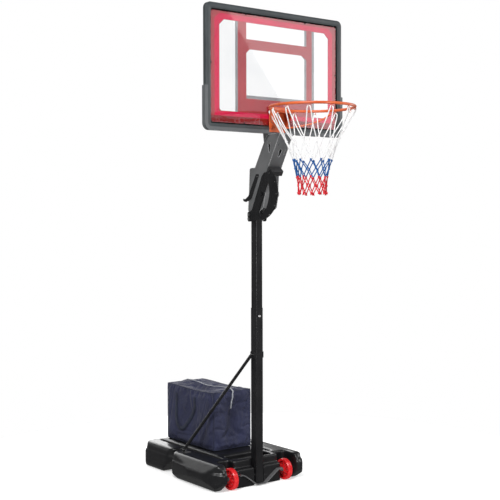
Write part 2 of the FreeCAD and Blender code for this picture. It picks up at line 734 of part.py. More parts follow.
def along_front(distance, outward):
    """A point in the arm's side view: so far up its front face from the web's foot, so far outward."""
    run = math.hypot(FRONT_TOP[0] - FRONT_LOW[0], FRONT_TOP[1] - FRONT_LOW[1])
    up = ((FRONT_TOP[0] - FRONT_LOW[0]) / run, (FRONT_TOP[1] - FRONT_LOW[1]) / run)
    return (FRONT_LOW[0] + up[0] * distance - up[1] * outward,
            FRONT_LOW[1] + up[1] * distance + up[0] * outward)


def make_lift_arm():
    """The folded-sheet arm: two side walls, with a front web over its upper part."""
    body = body_at_pole("lift_arm")
    cy, cz = CARRIER_PIVOT
    side = [(-50, 1614, 14), (-21, 1622, 14), (19, 1636, 18), (9, 1752, 60), (2, 1893, 16), (-49, 1893, 10),
            (cy + 50, cz + 14, 20), (cy + 30, 2074, 24), (cy, 2082, 0), (*FRONT_TOP, 6), (*FRONT_LOW, 30),
            (-146, 1790, 60), (-146, 1730, 60), (-128, WEB_FOOT_Z, 20)]
    sketch = sketch_on(body, "arm_side", "YZ_Plane", [side])
    pad(body, "arm_block", sketch, "2 * arm_half", middle=True)
    wall = size["sheet_thick"]
    inside = [(60, 1580, 0), (60, 2200, 0), (-340, 2200, 0), (*along_front(275, -wall), 0),
              (FRONT_LOW[0] + wall, FRONT_LOW[1], 30), (-146 + wall, 1790, 60), (-146 + wall, 1730, 60),
              (-128 + wall + 4, WEB_FOOT_Z, 0), (-160, WEB_FOOT_Z, 0), (-160, 1580, 0)]
    sketch = sketch_on(body, "arm_inside", "YZ_Plane", [inside])
    pocket(body, "arm_hollow", sketch, "2 * (arm_half - sheet_thick)", middle=True)
    holes = sketch_on(body, "arm_cross_holes", "YZ_Plane",
                      circles=[(PIVOT[0], PIVOT[1], 9.1), (cy, cz, 5.1), (*LEVER_PIVOT, 4.1)])
    pocket(body, "arm_holes", holes, "2 * arm_half + 4", middle=True)

    eye_y, eye_z = along_front(158, -52)
    keyhole = [(eye_y - 5, eye_z - 36, 4.5), (eye_y + 5, eye_z - 36, 4.5), (eye_y + 11, eye_z + 6, 10),
               (eye_y + 2, eye_z + 18, 6), (eye_y - 11, eye_z + 6, 10)]
    sketch = sketch_on(body, "arm_side_keyholes", "YZ_Plane", [keyhole])
    pocket(body, "arm_side_keyhole_cut", sketch, "2 * arm_half + 4", middle=True)
    front_z = along_front(158, 0)[1]
    foot, shoulder = front_z - 36, front_z + 6
    keyhole = [(-5, foot, 4.5), (5, foot, 4.5), (11, shoulder, 10), (-11, shoulder, 10)]
    low, high = front_z - 24, front_z + 4
    slot = [(31, low, 1.5), (35, low, 1.5), (35, high, 1.5), (31, high, 1.5)]
    sketch = sketch_on(body, "arm_front_keyholes", "XZ_Plane", [keyhole, slot], offset="160")
    pocket(body, "arm_front_keyhole_cut", sketch, "120", back=True)
    return node(body, "lift_arm")


def make_arm_hardware():
    """Flanged bushes on the main pivot, the lock block, and the bolts that the arm carries."""
    bushes = []
    for side in (-1, 1):
        start = "arm_half - sheet_thick - 0.5" if side > 0 else "-arm_half - 2.5"
        sleeve = rod("bush_sleeve", "X", (start, *PIVOT), "9.05", "sheet_thick + 3")
        start = "arm_half + 0.05" if side > 0 else "-arm_half - 2.05"
        flange = rod("bush_flange", "X", (start, *PIVOT), "14", "2")
        bore = rod("bush_bore", "X", ("-arm_half - 10", *PIVOT), "bolt_radius + running_gap",
                   "2 * arm_half + 20")
        bushes.append(cut("pivot_bush", join("bush_body", sleeve, flange), bore))
    group("pivot_bushes", *bushes)

    body = body_at_pole("lock_block")
    corners = [(*along_front(10, 0.1), 3), (*along_front(54, 0.1), 3), (*along_front(46, 44), 8),
               (*along_front(12, 44), 8)]
    sketch = sketch_on(body, "lock_block_side", "YZ_Plane", [corners],
                       circles=[(*LOCK_HOLES[0], size["pin_radius"] + size["running_gap"])])
    bind(sketch, "AttachmentOffset.Base.z", "-plate_inner_x + 2")
    pad(body, "lock_block_pad", sketch, "plate_inner_x + 32")
    node(body, "lock_block")

    node(hex_bolt("carrier_pivot_bolt_shape", *CARRIER_PIVOT, "5", "arm_half", 8), "carrier_pivot_bolt")
    pin = rod("lever_bolt_pin", "X", ("-arm_half - 3.4", *LEVER_PIVOT), "4", "2 * arm_half + 6.8")
    node(pin, "lever_bolt")

    eye_y, eye_z = along_front(160, -52)
    studs = [rod("keyhole_stud", "X", ("-arm_half - 2", eye_y, eye_z), "5.5", "8"),
             rod("keyhole_stud", "X", ("arm_half - 6", eye_y, eye_z), "5.5", "8")]
    clips = [block("stud_clip", (start, eye_y - 14, eye_z - 20), ("3", "28", "24"))
             for start in ("-arm_half + sheet_thick + 0.1", "arm_half - sheet_thick - 3.1")]
    group("keyhole_studs", join("stud_left", studs[0], clips[0]), join("stud_right", studs[1], clips[1]))


def make_lock_pin():
    """The pin that goes out into the crescent's holes, drawn held back with its tip just clear."""
    place_at = ("-plate_inner_x + 1", *LOCK_HOLES[0])
    node(rod("lock_pin", "X", place_at, "pin_radius", "plate_inner_x + 10"), "lock_pin")


def make_release_lever():
    """A U-shaped lever behind the arm: two side bars and a round grip."""
    ly, lz = LEVER_PIVOT
    bar = [(ly - 20, lz + 14, 8), (ly + 10, lz + 16, 10), (12, 1728, 20), (46, 1708, 4), (64, 1716, 6),
           (62, 1698, 8), (34, 1692, 16), (-18, 1712, 14)]
    sides = []
    pivot_hole = (ly, lz, 4.05)
    starts = {"lever_left_bar": "-arm_half - lever_thick - 0.4", "lever_right_bar": "arm_half + 0.4"}
    for name, start in starts.items():
        body = body_at_pole(name)
        sketch = sketch_on(body, name + "_outline", "YZ_Plane", [bar], circles=[pivot_hole], offset=start)
        pad(body, name + "_pad", sketch, "lever_thick")
        sides.append(body)
    grip = rod("lever_grip_bar", "X", ("-arm_half - 0.5", 52, 1704), "6", "2 * arm_half + 1")
    node(join("release_lever", *sides, grip), "release_lever")


def make_level_link():
    """The bar that keeps the board upright; its upper eye has a little clearance on its bolt."""
    body = body_at_pole("level_link")
    run = math.hypot(LINK_UPPER[0] - LINK_LOWER[0], LINK_UPPER[1] - LINK_LOWER[1])
    up = ((LINK_UPPER[0] - LINK_LOWER[0]) / run, (LINK_UPPER[1] - LINK_LOWER[1]) / run)
    corners = []
    for end, across in ((-13, -13), (-13, 13), (run + 13, 13), (run + 13, -13)):
        corners.append((LINK_LOWER[0] + up[0] * end + up[1] * across,
                        LINK_LOWER[1] + up[1] * end - up[0] * across, 12.5))
    sketch = sketch_on(body, "link_side", "YZ_Plane", [corners],
                       circles=[(*LINK_LOWER, 5.05), (*LINK_UPPER, 5.4)])
    pad(body, "link_pad", sketch, "24", middle=True)
    return node(body, "level_link")


def make_board_carrier():
    """The folded bracket behind the board: a web bolted to the frame, with two hinge flanges."""
    body = body_at_pole("board_carrier")
    cy, cz = CARRIER_PIVOT
    uy, uz = LINK_UPPER
    back = BOARD_REAR_Y + 0.2
    outline = [(back, 2284, 0), (-124, 2266, 10), (-112, 2110, 30), (uy + 22, uz - 6, 16),
               (uy - 4, uz - 24, 16), (cy + 10, cz - 22, 16), (cy - 22, cz - 16, 16), (cy - 20, cz + 22, 16),
               (back + 5, 2076, 6), (back + 5, 2108, 2), (back, 2110, 0)]
    sketch = sketch_on(body, "carrier_side", "YZ_Plane", [outline])
    pad(body, "carrier_block", sketch, "2 * 41", middle=True)
    inside = [(back + 3, 2300, 0), (back + 3, 2100, 0), (-300, 2100, 0), (-300, 1960, 0), (-60, 1960, 0),
              (-60, 2300, 0)]
    sketch = sketch_on(body, "carrier_inside", "YZ_Plane", [inside])
    pocket(body, "carrier_hollow", sketch, "2 * 38", middle=True)
    holes = sketch_on(body, "carrier_holes_sketch", "YZ_Plane",
                      circles=[(cy, cz, 5 + size["running_gap"]), (uy, uz, 5.1)])
    pocket(body, "carrier_holes", holes, "100", middle=True)
    node(body, "board_carrier")
    pin = rod("link_upper_shank", "X", ("-45", uy, uz), "5", "90")
    heads = [rod("link_upper_head", "X", (start, uy, uz), "8", "3.8") for start in ("-45", "41.2")]
    node(join("link_upper_bolt_shape", pin, *heads), "link_upper_bolt")
    bolts = [prism_y("carrier_bolt", x, "%g" % (back + 3), z, "7", "5")
             for x in (-26, 26) for z in (2130, 2250)]
    group("carrier_bolts", *bolts)


def prism_y(name, x, y, z, circumradius, height):
    hexagon = doc.addObject("Part::Prism", name)
    hexagon.Polygon = 6
    hexagon.Placement = Placement(Vector(), TURN["Y"])
    bind(hexagon, "Circumradius", circumradius)
    bind(hexagon, "Height", height)
    place(hexagon, x, y, z)
    return hexagon


# ---------------------------------------------------------------- backboard

BOARD_REAR_Y = size["board_front_y"] + size["frame_depth"]


def board_rectangle(inset, corner):
    half = size["board_width"] / 2 - inset
    low = size["board_bottom_z"] + inset
    high = size["board_bottom_z"] + size["board_height"] - inset
    return [(-half, low, corner), (half, low, corner), (half, high, corner), (-half, high, corner)]


def make_backboard():
    """The moulded frame with a rear rebate, the clear panel in it, and the bumper pad round its foot."""
    face = size["frame_face"]
    body = body_at_pole("backboard_frame")
    outlines = [board_rectangle(0, 34), board_rectangle(face, 12)]
    sketch = sketch_on(body, "frame_section", "XZ_Plane", outlines, offset="-board_front_y")
    pad(body, "frame_moulding", sketch, "frame_depth", back=True)
    rebate = sketch_on(body, "frame_rebate_sketch", "XZ_Plane", [board_rectangle(face - 12, 10)],
                       offset="-panel_front_y + 0.1")
    pocket(body, "frame_rebate", rebate, "frame_depth")
    rail = sketch_on(body, "carrier_rail_sketch", "XZ_Plane",
                     [[(-60, 2110, 0), (60, 2110, 0), (60, 2288, 10), (-60, 2288, 10)]],
                     offset="-board_front_y - frame_depth + 8")
    pad(body, "carrier_rail", rail, "8", back=True)
    node(body, "backboard_frame")

    body = body_at_pole("backboard_panel")
    sketch = sketch_on(body, "panel_outline", "XZ_Plane", [board_rectangle(face - 11.6, 9)],
                       offset="-panel_front_y")
    pad(body, "panel_sheet", sketch, "panel_thick", back=True)
    node(body, "backboard_panel")

    screws = []
    inset = face + 9
    half = size["board_width"] / 2 - inset
    low = size["board_bottom_z"] + inset
    high = size["board_bottom_z"] + size["board_height"] - inset
    middle = (low + high) / 2 + 20
    spots = [(x, high) for x in (-half, -218, 218, half)] + [(x, middle) for x in (-half, half)]
    spots += [(x, low) for x in (-half, -230, 230, half)]
    for x, z in spots:
        screws.append(rod("frame_screw", "Y", (x, "panel_front_y - 2.5", z), "5.5", "2.5"))
    group("frame_screws", *screws)

    proud = size["pad_proud"]
    body = body_at_pole("edge_pad")
    half = size["board_width"] / 2
    low = size["board_bottom_z"]
    top = size["pad_side_top_z"]
    lap = 13
    outer = [(-half - proud, low - proud, 40), (half + proud, low - proud, 40), (half + proud, top, 4),
             (half - lap, top, 3), (half - lap, low + lap, 22), (-half + lap, low + lap, 22),
             (-half + lap, top, 3), (-half - proud, top, 4)]
    sketch = sketch_on(body, "edge_pad_outline", "XZ_Plane", [outer], offset="-board_front_y + 5")
    pad(body, "edge_pad_block", sketch, "frame_depth + 7", back=True)
    hollow = [(-half - 0.1, low - 0.1, 34), (half + 0.1, low - 0.1, 34), (half + 0.1, top + 20, 0),
              (-half - 0.1, top + 20, 0)]
    sketch = sketch_on(body, "edge_pad_hollow_sketch", "XZ_Plane", [hollow], offset="-board_front_y + 0.1")
    pocket(body, "edge_pad_hollow", sketch, "frame_depth + 20")
    gap = [(-59, low + 0.5, 0), (59, low + 0.5, 0), (59, low + 20, 0), (-59, low + 20, 0)]
    sketch = sketch_on(body, "edge_pad_gap_sketch", "XZ_Plane", [gap], offset="-board_front_y + 20")
    pocket(body, "edge_pad_gap", sketch, "frame_depth + 40")
    node(body, "edge_pad")


# ---------------------------------------------------------------- rim and net

def make_rim():
    """The ring, its bent bracket, two curved braces, bolts and the net hooks."""
    ring = doc.addObject("Part::Torus", "rim_ring")
    bind(ring, "Radius1", "ring_radius")
    bind(ring, "Radius2", "rod_radius")
    place(ring, "0", "ring_y", "ring_z")
    node(ring, "rim_ring")

    half = size["bracket_width"] / 2
    face = size["board_front_y"]
    thick = size["bracket_thick"]
    shelf = size["ring_z"] - size["rod_radius"] - 0.2
    back_ring = size["ring_y"] + size["ring_radius"]
    body = body_at_pole("rim_bracket")
    foot = size["board_bottom_z"] + 2
    top = size["bracket_top_z"]
    back = face - 0.1
    front = back - thick
    section = [(back, foot, 0), (back, top, 0), (front, top, 0), (front, shelf, 0),
               (back_ring - 12, shelf, 0), (back_ring - 12, shelf - thick, 0), (front, shelf - thick, 6),
               (front, foot, 0)]
    sketch = sketch_on(body, "bracket_section", "YZ_Plane", [section])
    pad(body, "bracket_bend", sketch, "bracket_width", middle=True)
    gusset = [(face - 2, 2112, 0), (face - 2, shelf - 2, 0), (back_ring, shelf - 2, 0),
              (back_ring + 2, shelf - 12, 8), (face - 16, 2112, 10)]
    for side in (-1, 1):
        offset = "%d * (bracket_width / 2 - 3)" % side
        sketch = sketch_on(body, "gusset_side", "YZ_Plane", [gusset], offset=offset)
        pad(body, "gusset", sketch, "3", back=side < 0)
    trim = [(-half - 1, back_ring - 30, 0), (-half - 1, back_ring + 14, 0), (-38, back_ring - 30, 0)]
    trim_right = [(-x, y, r) for x, y, r in trim]
    sketch = sketch_on(body, "shelf_trim", "XY_Plane", [trim, trim_right], offset="2190")
    pocket(body, "shelf_corners", sketch, "40", back=True)
    node(body, "rim_bracket")

    braces = []
    for side in (-1, 1):
        points = [Vector(side * 40, face - thick - 5, 2118), Vector(side * 72, -262, 2120),
                  Vector(side * 150, -330, 2140), Vector(side * 200, -388, 2170),
                  Vector(side * 219, -420, 2197)]
        braces.append(swept_rod(points, [60, 120, 120], 5))
    for label, solid in zip(("rim_brace_left", "rim_brace_right"), braces):
        shape_feature(label, solid)

    bolts = []
    for x in (-40, 40):
        for z in (2150, 2222):
            bolts.append(prism_y("rim_bolt", x, "%g - 5" % (face - thick - 0.1), z, "7", "5"))
    group("rim_bolts", *bolts)

    hooks = []
    for i in range(12):
        x, y = polar((0, size["ring_y"]), size["ring_radius"], 15 + i * 30)
        hook = doc.addObject("Part::Torus", "net_hook")
        hook.Placement = Placement(Vector(), Rotation(Z_AXIS, 15 + i * 30).multiply(Rotation(X_AXIS, 90)))
        bind(hook, "Radius1", "5")
        bind(hook, "Radius2", "1.7")
        place(hook, x, y, "ring_z - rod_radius - 6.6")
        hooks.append(hook)
    group("net_hooks", *hooks)


NET_PROFILE = [(0, 226), (90, 186), (180, 146), (282, 110), (381, 84), (474, 86)]


def make_net():
    """The net as a thin tapering tube, open at its top and bottom."""
    body = doc.addObject("PartDesign::Body", "net")
    place(body, "0", "ring_y", "ring_z - rod_radius - 16")
    outer = [(radius, -drop * size["net_drop"] / 474) for drop, radius in NET_PROFILE]
    inner = [(radius - size["net_thick"], z) for radius, z in outer]
    sketch = sketch_on(body, "net_section", "XZ_Plane", [[(r, z, 0) for r, z in outer + inner[::-1]]])
    turn = body.newObject("PartDesign::Revolution", "net_turned")
    turn.Profile = sketch
    turn.ReferenceAxis = (sketch, ["V_Axis"])
    turn.Angle = 360
    doc.recompute()
    node(body, "net")


# ---------------------------------------------------------------- weight bag

BAG_LOOP_Y = 545


def make_bag():
    """The weight bag as a plain closed solid, with its two carrying loops, zip tape and slider."""
    length = "bag_rear_y - bag_front_y"
    height = "bag_top_z - bag_bottom_z"
    bag = block("bag_block", ("-bag_half", "bag_front_y", "bag_bottom_z"), ("2 * bag_half", length, height))
    rounded = doc.addObject("Part::Fillet", "weight_bag")
    rounded.Base = bag
    doc.recompute()
    rounded.Edges = [(i + 1, 16, 16) for i in range(12)]
    node(rounded, "weight_bag")

    loops = []
    middle = BAG_LOOP_Y
    for side in (-1, 1):
        body = body_at_pole("bag_loop")
        outer = [(middle - 112, 480, 8), (middle - 112, 252, 105), (middle + 112, 252, 105),
                 (middle + 112, 480, 8)]
        inner = [(middle + 86, 480, 8), (middle + 86, 278, 80), (middle - 86, 278, 80), (middle - 86, 480, 8)]
        offset = "%d * (bag_half + 0.1)" % side
        sketch = sketch_on(body, "bag_loop_outline", "YZ_Plane", [outer + inner], offset=offset)
        pad(body, "bag_loop_pad", sketch, "3", back=side < 0)
        loops.append(body)
    group("bag_handles", *loops)

    tape = block("zip_tape_top", ("-zip_width / 2", "bag_front_y + 18", "bag_top_z + 0.05"),
                 ("zip_width", "%s - 36" % length, "1.6"))
    drop = block("zip_tape_front", ("-zip_width / 2", "bag_front_y - 1.65", "bag_top_z - 120"),
                 ("zip_width", "1.6", "102"))
    group("bag_zip", tape, drop)
    slider = block("zip_slider", ("-7", "bag_rear_y - 60", "bag_top_z + 1.9"), ("14", "16", "4"))
    tab = block("zip_tab", ("-4", "bag_rear_y - 46", "bag_top_z + 2.4"), ("8", "26", "2"))
    node(join("zip_pull", slider, tab), "zip_pull")


# ---------------------------------------------------------------- build

make_base_tank()
make_fill_cap()
make_wheel("wheel_left", -1)
make_wheel("wheel_right", 1)
make_axle()
make_washers()
make_foot_bracket()
make_pole()
make_joint_bolt()
make_strut("strut_left", -1)
make_strut("strut_right", 1)
make_strut_fittings()
make_head_plates()
make_link_posts()
make_head_hardware()
make_lift_arm()
make_arm_hardware()
make_lock_pin()
make_release_lever()
make_level_link()
make_board_carrier()
make_backboard()
make_rim()
make_net()
make_bag()
doc.recompute()

for obj in doc.Objects:
    if "Invalid" in obj.State or "Error" in obj.State:
        raise ValueError("%s failed: %s" % (obj.Label, obj.State))
for obj in NODES:
    if obj.Shape.isNull() or not obj.Shape.isValid():
        raise ValueError("%s has no valid shape" % obj.Label)

os.makedirs("parts", exist_ok=True)
for obj in NODES:
    obj.Shape.exportStep("parts/%s.step" % obj.Label)
print(len(NODES), "nodes written")
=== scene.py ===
import math
import random
import bmesh
import bpy
from mathutils import Matrix, Vector
from mathutils.bvhtree import BVHTree


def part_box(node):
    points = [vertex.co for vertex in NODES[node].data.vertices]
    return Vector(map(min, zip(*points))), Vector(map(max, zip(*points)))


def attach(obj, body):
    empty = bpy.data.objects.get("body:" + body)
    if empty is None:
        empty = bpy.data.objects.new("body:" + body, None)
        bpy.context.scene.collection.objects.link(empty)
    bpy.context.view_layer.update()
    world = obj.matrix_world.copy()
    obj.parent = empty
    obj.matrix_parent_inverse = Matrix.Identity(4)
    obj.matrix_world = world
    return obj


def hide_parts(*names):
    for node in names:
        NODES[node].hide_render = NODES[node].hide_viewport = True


# Portable basketball hoop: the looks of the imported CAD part. Everything is in metres, in the CAD's frame:
# x to the right, y away from the court and z up, with the floor at 0.

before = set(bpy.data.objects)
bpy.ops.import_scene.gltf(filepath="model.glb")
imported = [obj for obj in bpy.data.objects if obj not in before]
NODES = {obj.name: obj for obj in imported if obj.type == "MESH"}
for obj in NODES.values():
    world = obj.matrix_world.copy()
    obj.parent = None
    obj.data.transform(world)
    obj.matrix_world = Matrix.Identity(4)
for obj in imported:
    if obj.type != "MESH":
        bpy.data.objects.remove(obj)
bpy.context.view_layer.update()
POLE_Y = -0.043
WHEEL_X = 0.203
AXLE_Y = POLE_Y - 0.008
AXLE_Z = 0.064
RING = Vector((0, POLE_Y - 0.508, 2.212))
RING_RADIUS = 0.2366
ROD_RADIUS = 0.008
PANEL_REAR = -0.226
BOARD_FOOT = 2.091
BOARD_HEIGHT = 0.697
BOARD_HALF = 0.5
rng = random.Random(7)


# ---------------------------------------------------------------- materials

def socket(shader, name, value):
    shader.inputs[name].default_value = value


def add(tree, kind, **inputs):
    """A node with some of its inputs set. An underscore in a name stands for a space."""
    made = tree.nodes.new(kind)
    for name, value in inputs.items():
        made.inputs[name.replace("_", " ")].default_value = value
    return made


def arithmetic(tree, operation, first, second=None):
    """The result of a math node. The second input is a socket, a number or nothing."""
    made = tree.nodes.new("ShaderNodeMath")
    made.operation = operation
    tree.links.new(first, made.inputs[0])
    if isinstance(second, bpy.types.NodeSocket):
        tree.links.new(second, made.inputs[1])
    elif second is not None:
        made.inputs[1].default_value = second
    return made.outputs[0]


def blend_colours(tree, factor, first, second):
    """Mixes two colours, each a socket or a plain colour, by a factor socket."""
    mix = tree.nodes.new("ShaderNodeMix")
    mix.data_type = "RGBA"
    tree.links.new(factor, mix.inputs["Factor"])
    for slot_name, value in ((6, first), (7, second)):
        if isinstance(value, bpy.types.NodeSocket):
            tree.links.new(value, mix.inputs[slot_name])
        else:
            mix.inputs[slot_name].default_value = (*value, 1)
    return mix.outputs[2]


def ramp(tree, source, low, high, out_low=0.0, out_high=1.0):
    made = add(tree, "ShaderNodeMapRange", From_Min=low, From_Max=high, To_Min=out_low, To_Max=out_high)
    tree.links.new(source, made.inputs["Value"])
    return made.outputs["Result"]


def noise(tree, coords, scale, detail=4.0, stretch=None):
    made = add(tree, "ShaderNodeTexNoise", Scale=scale, Detail=detail)
    if stretch:
        mapping = tree.nodes.new("ShaderNodeMapping")
        mapping.inputs["Scale"].default_value = stretch
        tree.links.new(coords, mapping.inputs["Vector"])
        coords = mapping.outputs["Vector"]
    tree.links.new(coords, made.inputs["Vector"])
    return made.outputs["Fac"]


def edge_mask(tree, radius):
    """1 near an edge and 0 on a flat face."""
    bevel = add(tree, "ShaderNodeBevel", Radius=radius)
    geometry = tree.nodes.new("ShaderNodeNewGeometry")
    dot = tree.nodes.new("ShaderNodeVectorMath")
    dot.operation = "DOT_PRODUCT"
    tree.links.new(bevel.outputs["Normal"], dot.inputs[0])
    tree.links.new(geometry.outputs["Normal"], dot.inputs[1])
    return ramp(tree, dot.outputs["Value"], 0.98, 0.80)


def material(name, light, dark, rough=0.4, spread=0.1, metallic=0.0, blotch=6.0, grain=700.0, bump=0.12,
             depth=0.0004, edge=None, edge_size=0.0012, edge_share=0.6, edge_floor=0.0, coat=0.0,
             sheen=0.0, specular=0.5, stretch=None, seam=None, weave=None):
    """A procedural finish: mottled colour, fine grain and uneven gloss.

    edge is the colour of its lighter edges: rubbed wear on most finishes, a painted highlight where a high
    edge_floor keeps it unbroken; seam is the height of a parting line, and weave the pitch of threads.
    """
    made = bpy.data.materials.new(name)
    made.use_nodes = True
    tree = made.node_tree
    shader = tree.nodes["Principled BSDF"]
    link = tree.links.new
    coords = tree.nodes.new("ShaderNodeTexCoord").outputs["Object"]
    broad = noise(tree, coords, blotch, 5.0)
    fine = noise(tree, coords, grain, 3.0, stretch)
    scuff = noise(tree, coords, 46.0, 6.0, (1, 1, 0.25))
    colour = blend_colours(tree, ramp(tree, broad, 0.32, 0.68), dark, light)
    height = fine
    if weave:
        height, thread = weave_height(tree, coords, weave, fine)
        # Painted shade: the hollows between the threads take a darker copy of the dark colour.
        shade = tuple(0.62 * c for c in dark)
        colour = blend_colours(tree, ramp(tree, thread, 0.1, 0.75), shade, colour)
    # Lighter edges: rubbed wear in patches, and a painted highlight along every edge where edge_floor is
    # high.
    if edge:
        patches = ramp(tree, scuff, 0.42, 0.66, edge_floor, edge_share)
        wear_and_highlight_mask = arithmetic(tree, "MULTIPLY", edge_mask(tree, edge_size), patches)
        colour = blend_colours(tree, wear_and_highlight_mask, colour, edge)
    link(colour, shader.inputs["Base Color"])
    link(ramp(tree, scuff, 0.25, 0.75, rough - spread, rough + spread), shader.inputs["Roughness"])
    bump_node = add(tree, "ShaderNodeBump", Strength=bump, Distance=depth)
    link(height, bump_node.inputs["Height"])
    if seam is not None:
        line = seam_height(tree, coords, seam)
        second = add(tree, "ShaderNodeBump", Strength=0.6, Distance=0.0012)
        link(line, second.inputs["Height"])
        link(second.outputs["Normal"], bump_node.inputs["Normal"])
    link(bump_node.outputs["Normal"], shader.inputs["Normal"])
    socket(shader, "Metallic", metallic)
    socket(shader, "Coat Weight", coat)
    socket(shader, "Coat Roughness", 0.12)
    socket(shader, "Sheen Weight", sheen)
    socket(shader, "Specular IOR Level", specular)
    return made


def weave_height(tree, coords, pitch, fine):
    """Threads crossing on every face of a box, with fibre noise: their height, and the same from 0 to 1."""
    split = tree.nodes.new("ShaderNodeSeparateXYZ")
    tree.links.new(coords, split.inputs[0])
    waves = []
    for axis in "XYZ":
        scaled = arithmetic(tree, "MULTIPLY", split.outputs[axis], math.pi / pitch)
        waves.append(arithmetic(tree, "ABSOLUTE", arithmetic(tree, "SINE", scaled)))
    total = waves[0]
    for wave in waves[1:] + [fine]:
        total = arithmetic(tree, "ADD", total, wave)
    return total, ramp(tree, total, 0.5, 3.2)


def seam_height(tree, coords, level):
    """A raised parting line at one height."""
    split = tree.nodes.new("ShaderNodeSeparateXYZ")
    tree.links.new(coords, split.inputs[0])
    away = arithmetic(tree, "ABSOLUTE", arithmetic(tree, "SUBTRACT", split.outputs["Z"], level))
    return ramp(tree, away, 0.0022, 0.0006)


def clear_sheet(name):
    """Clear plastic sheet with faint dust in its gloss."""
    made = material(name, (0.98, 0.985, 0.99), (0.94, 0.95, 0.96), rough=0.03, spread=0.02, bump=0.0,
                    grain=60.0, depth=0.0001)
    shader = made.node_tree.nodes["Principled BSDF"]
    socket(shader, "Transmission Weight", 1.0)
    socket(shader, "IOR", 1.49)
    return made


def film(name, light, dark, alpha, glow):
    """A printed film that lets some light through, with an emission painted in as the glow of the daylight
    behind it.
    """
    made = material(name, light, dark, rough=0.2, spread=0.04, blotch=2.5, grain=300.0, bump=0.0)
    shader = made.node_tree.nodes["Principled BSDF"]
    socket(shader, "Alpha", alpha)
    # Painted light: the film glows by itself, standing in for daylight shining through the sheet.
    socket(shader, "Emission Color", (*glow, 1))
    socket(shader, "Emission Strength", 1.0)
    return made


TANK = material("tank_plastic", (0.011, 0.011, 0.012), (0.005, 0.005, 0.006), rough=0.31, spread=0.04,
                grain=900.0, bump=0.02, depth=0.0002, edge=(0.04, 0.04, 0.042), edge_size=0.004,
                edge_share=0.3, seam=0.056, specular=0.5)
CAP = material("cap_plastic", (0.03, 0.03, 0.032), (0.012, 0.012, 0.013), rough=0.42, bump=0.3)
WHEEL = material("wheel_red", (0.72, 0.012, 0.016), (0.52, 0.006, 0.010), rough=0.32, spread=0.08, bump=0.12,
                 blotch=20.0, edge=(0.86, 0.16, 0.13), edge_share=0.5, coat=0.2)
STEEL = material("steel_grey", (0.20, 0.20, 0.205), (0.12, 0.12, 0.125), rough=0.32, metallic=0.4, bump=0.1,
                 stretch=(0.15, 1, 1))
ZINC = material("zinc", (0.62, 0.62, 0.60), (0.40, 0.40, 0.41), rough=0.28, metallic=1.0, blotch=120.0,
                edge=(0.8, 0.8, 0.8), edge_size=0.0006)
POLE = material("pole_black", (0.012, 0.012, 0.013), (0.006, 0.006, 0.007), rough=0.30, spread=0.08,
                grain=900.0, bump=0.22, depth=0.0003, edge=(0.07, 0.07, 0.07), edge_share=0.5)
PLATE = material("plate_black", (0.008, 0.008, 0.009), (0.004, 0.004, 0.005), rough=0.26, spread=0.08,
                 grain=900.0, bump=0.22, edge=(0.16, 0.16, 0.16), edge_share=0.6)
# The arm's near-white edge colour, kept unbroken by a high edge_floor, is a painted highlight along its
# corners.
ARM = material("arm_grey", (0.185, 0.188, 0.192), (0.140, 0.142, 0.145), rough=0.36, spread=0.10,
               metallic=0.3, grain=900.0, bump=0.1, edge=(0.80, 0.81, 0.82), edge_size=0.006,
               edge_share=1.0, edge_floor=0.7)
BUSH = material("bush_plastic", (0.05, 0.05, 0.052), (0.02, 0.02, 0.021), rough=0.5)
FRAME = material("frame_plastic", (0.046, 0.054, 0.058), (0.032, 0.038, 0.042), rough=0.42, spread=0.09,
                 grain=650.0, bump=0.1, edge=(0.12, 0.135, 0.145), edge_size=0.002, edge_share=0.5)
PANEL = clear_sheet("panel_clear")
SCREW = material("screw_black", (0.012, 0.012, 0.012), (0.006, 0.006, 0.006), rough=0.3, metallic=0.6,
                 edge=(0.2, 0.2, 0.2))
PAD = material("pad_grey", (0.115, 0.122, 0.128), (0.085, 0.091, 0.096), rough=0.5, spread=0.08, grain=420.0,
               bump=0.15, edge=(0.22, 0.23, 0.24), edge_size=0.003, edge_share=0.6)
RIM = material("rim_orange", (0.72, 0.135, 0.035), (0.55, 0.085, 0.022), rough=0.34, spread=0.1, grain=800.0,
               bump=0.2, edge=(0.85, 0.33, 0.16), edge_share=0.6, coat=0.25)
WHITE_CORD = material("cord_white", (0.95, 0.95, 0.94), (0.82, 0.82, 0.83), rough=0.75, blotch=90.0,
                      grain=1500.0, bump=0.5, sheen=0.05)
BLUE_CORD = material("cord_blue", (0.004, 0.125, 0.42), (0.002, 0.060, 0.23), rough=0.75, blotch=90.0,
                     grain=1500.0, bump=0.5, sheen=0.05)
RED_CORD = material("cord_red", (0.80, 0.012, 0.030), (0.48, 0.004, 0.012), rough=0.75, blotch=90.0,
                    grain=1500.0, bump=0.5, sheen=0.05)
FABRIC = material("bag_fabric", (0.024, 0.029, 0.086), (0.015, 0.018, 0.056), rough=0.72, spread=0.1,
                  blotch=11.0, grain=1400.0, bump=0.6, depth=0.0005, sheen=0.08, weave=0.0011)
WEBBING = material("bag_webbing", (0.014, 0.022, 0.052), (0.008, 0.012, 0.032), rough=0.7, grain=1400.0,
                   bump=0.7, depth=0.0006, sheen=0.05, weave=0.0018)
TAPE = material("zip_tape", (0.62, 0.64, 0.68), (0.44, 0.46, 0.50), rough=0.6, grain=1200.0, bump=0.5,
                weave=0.0009)
THREAD = material("bag_thread", (0.05, 0.055, 0.11), (0.03, 0.035, 0.08), rough=0.6, grain=1800.0, bump=0.6)
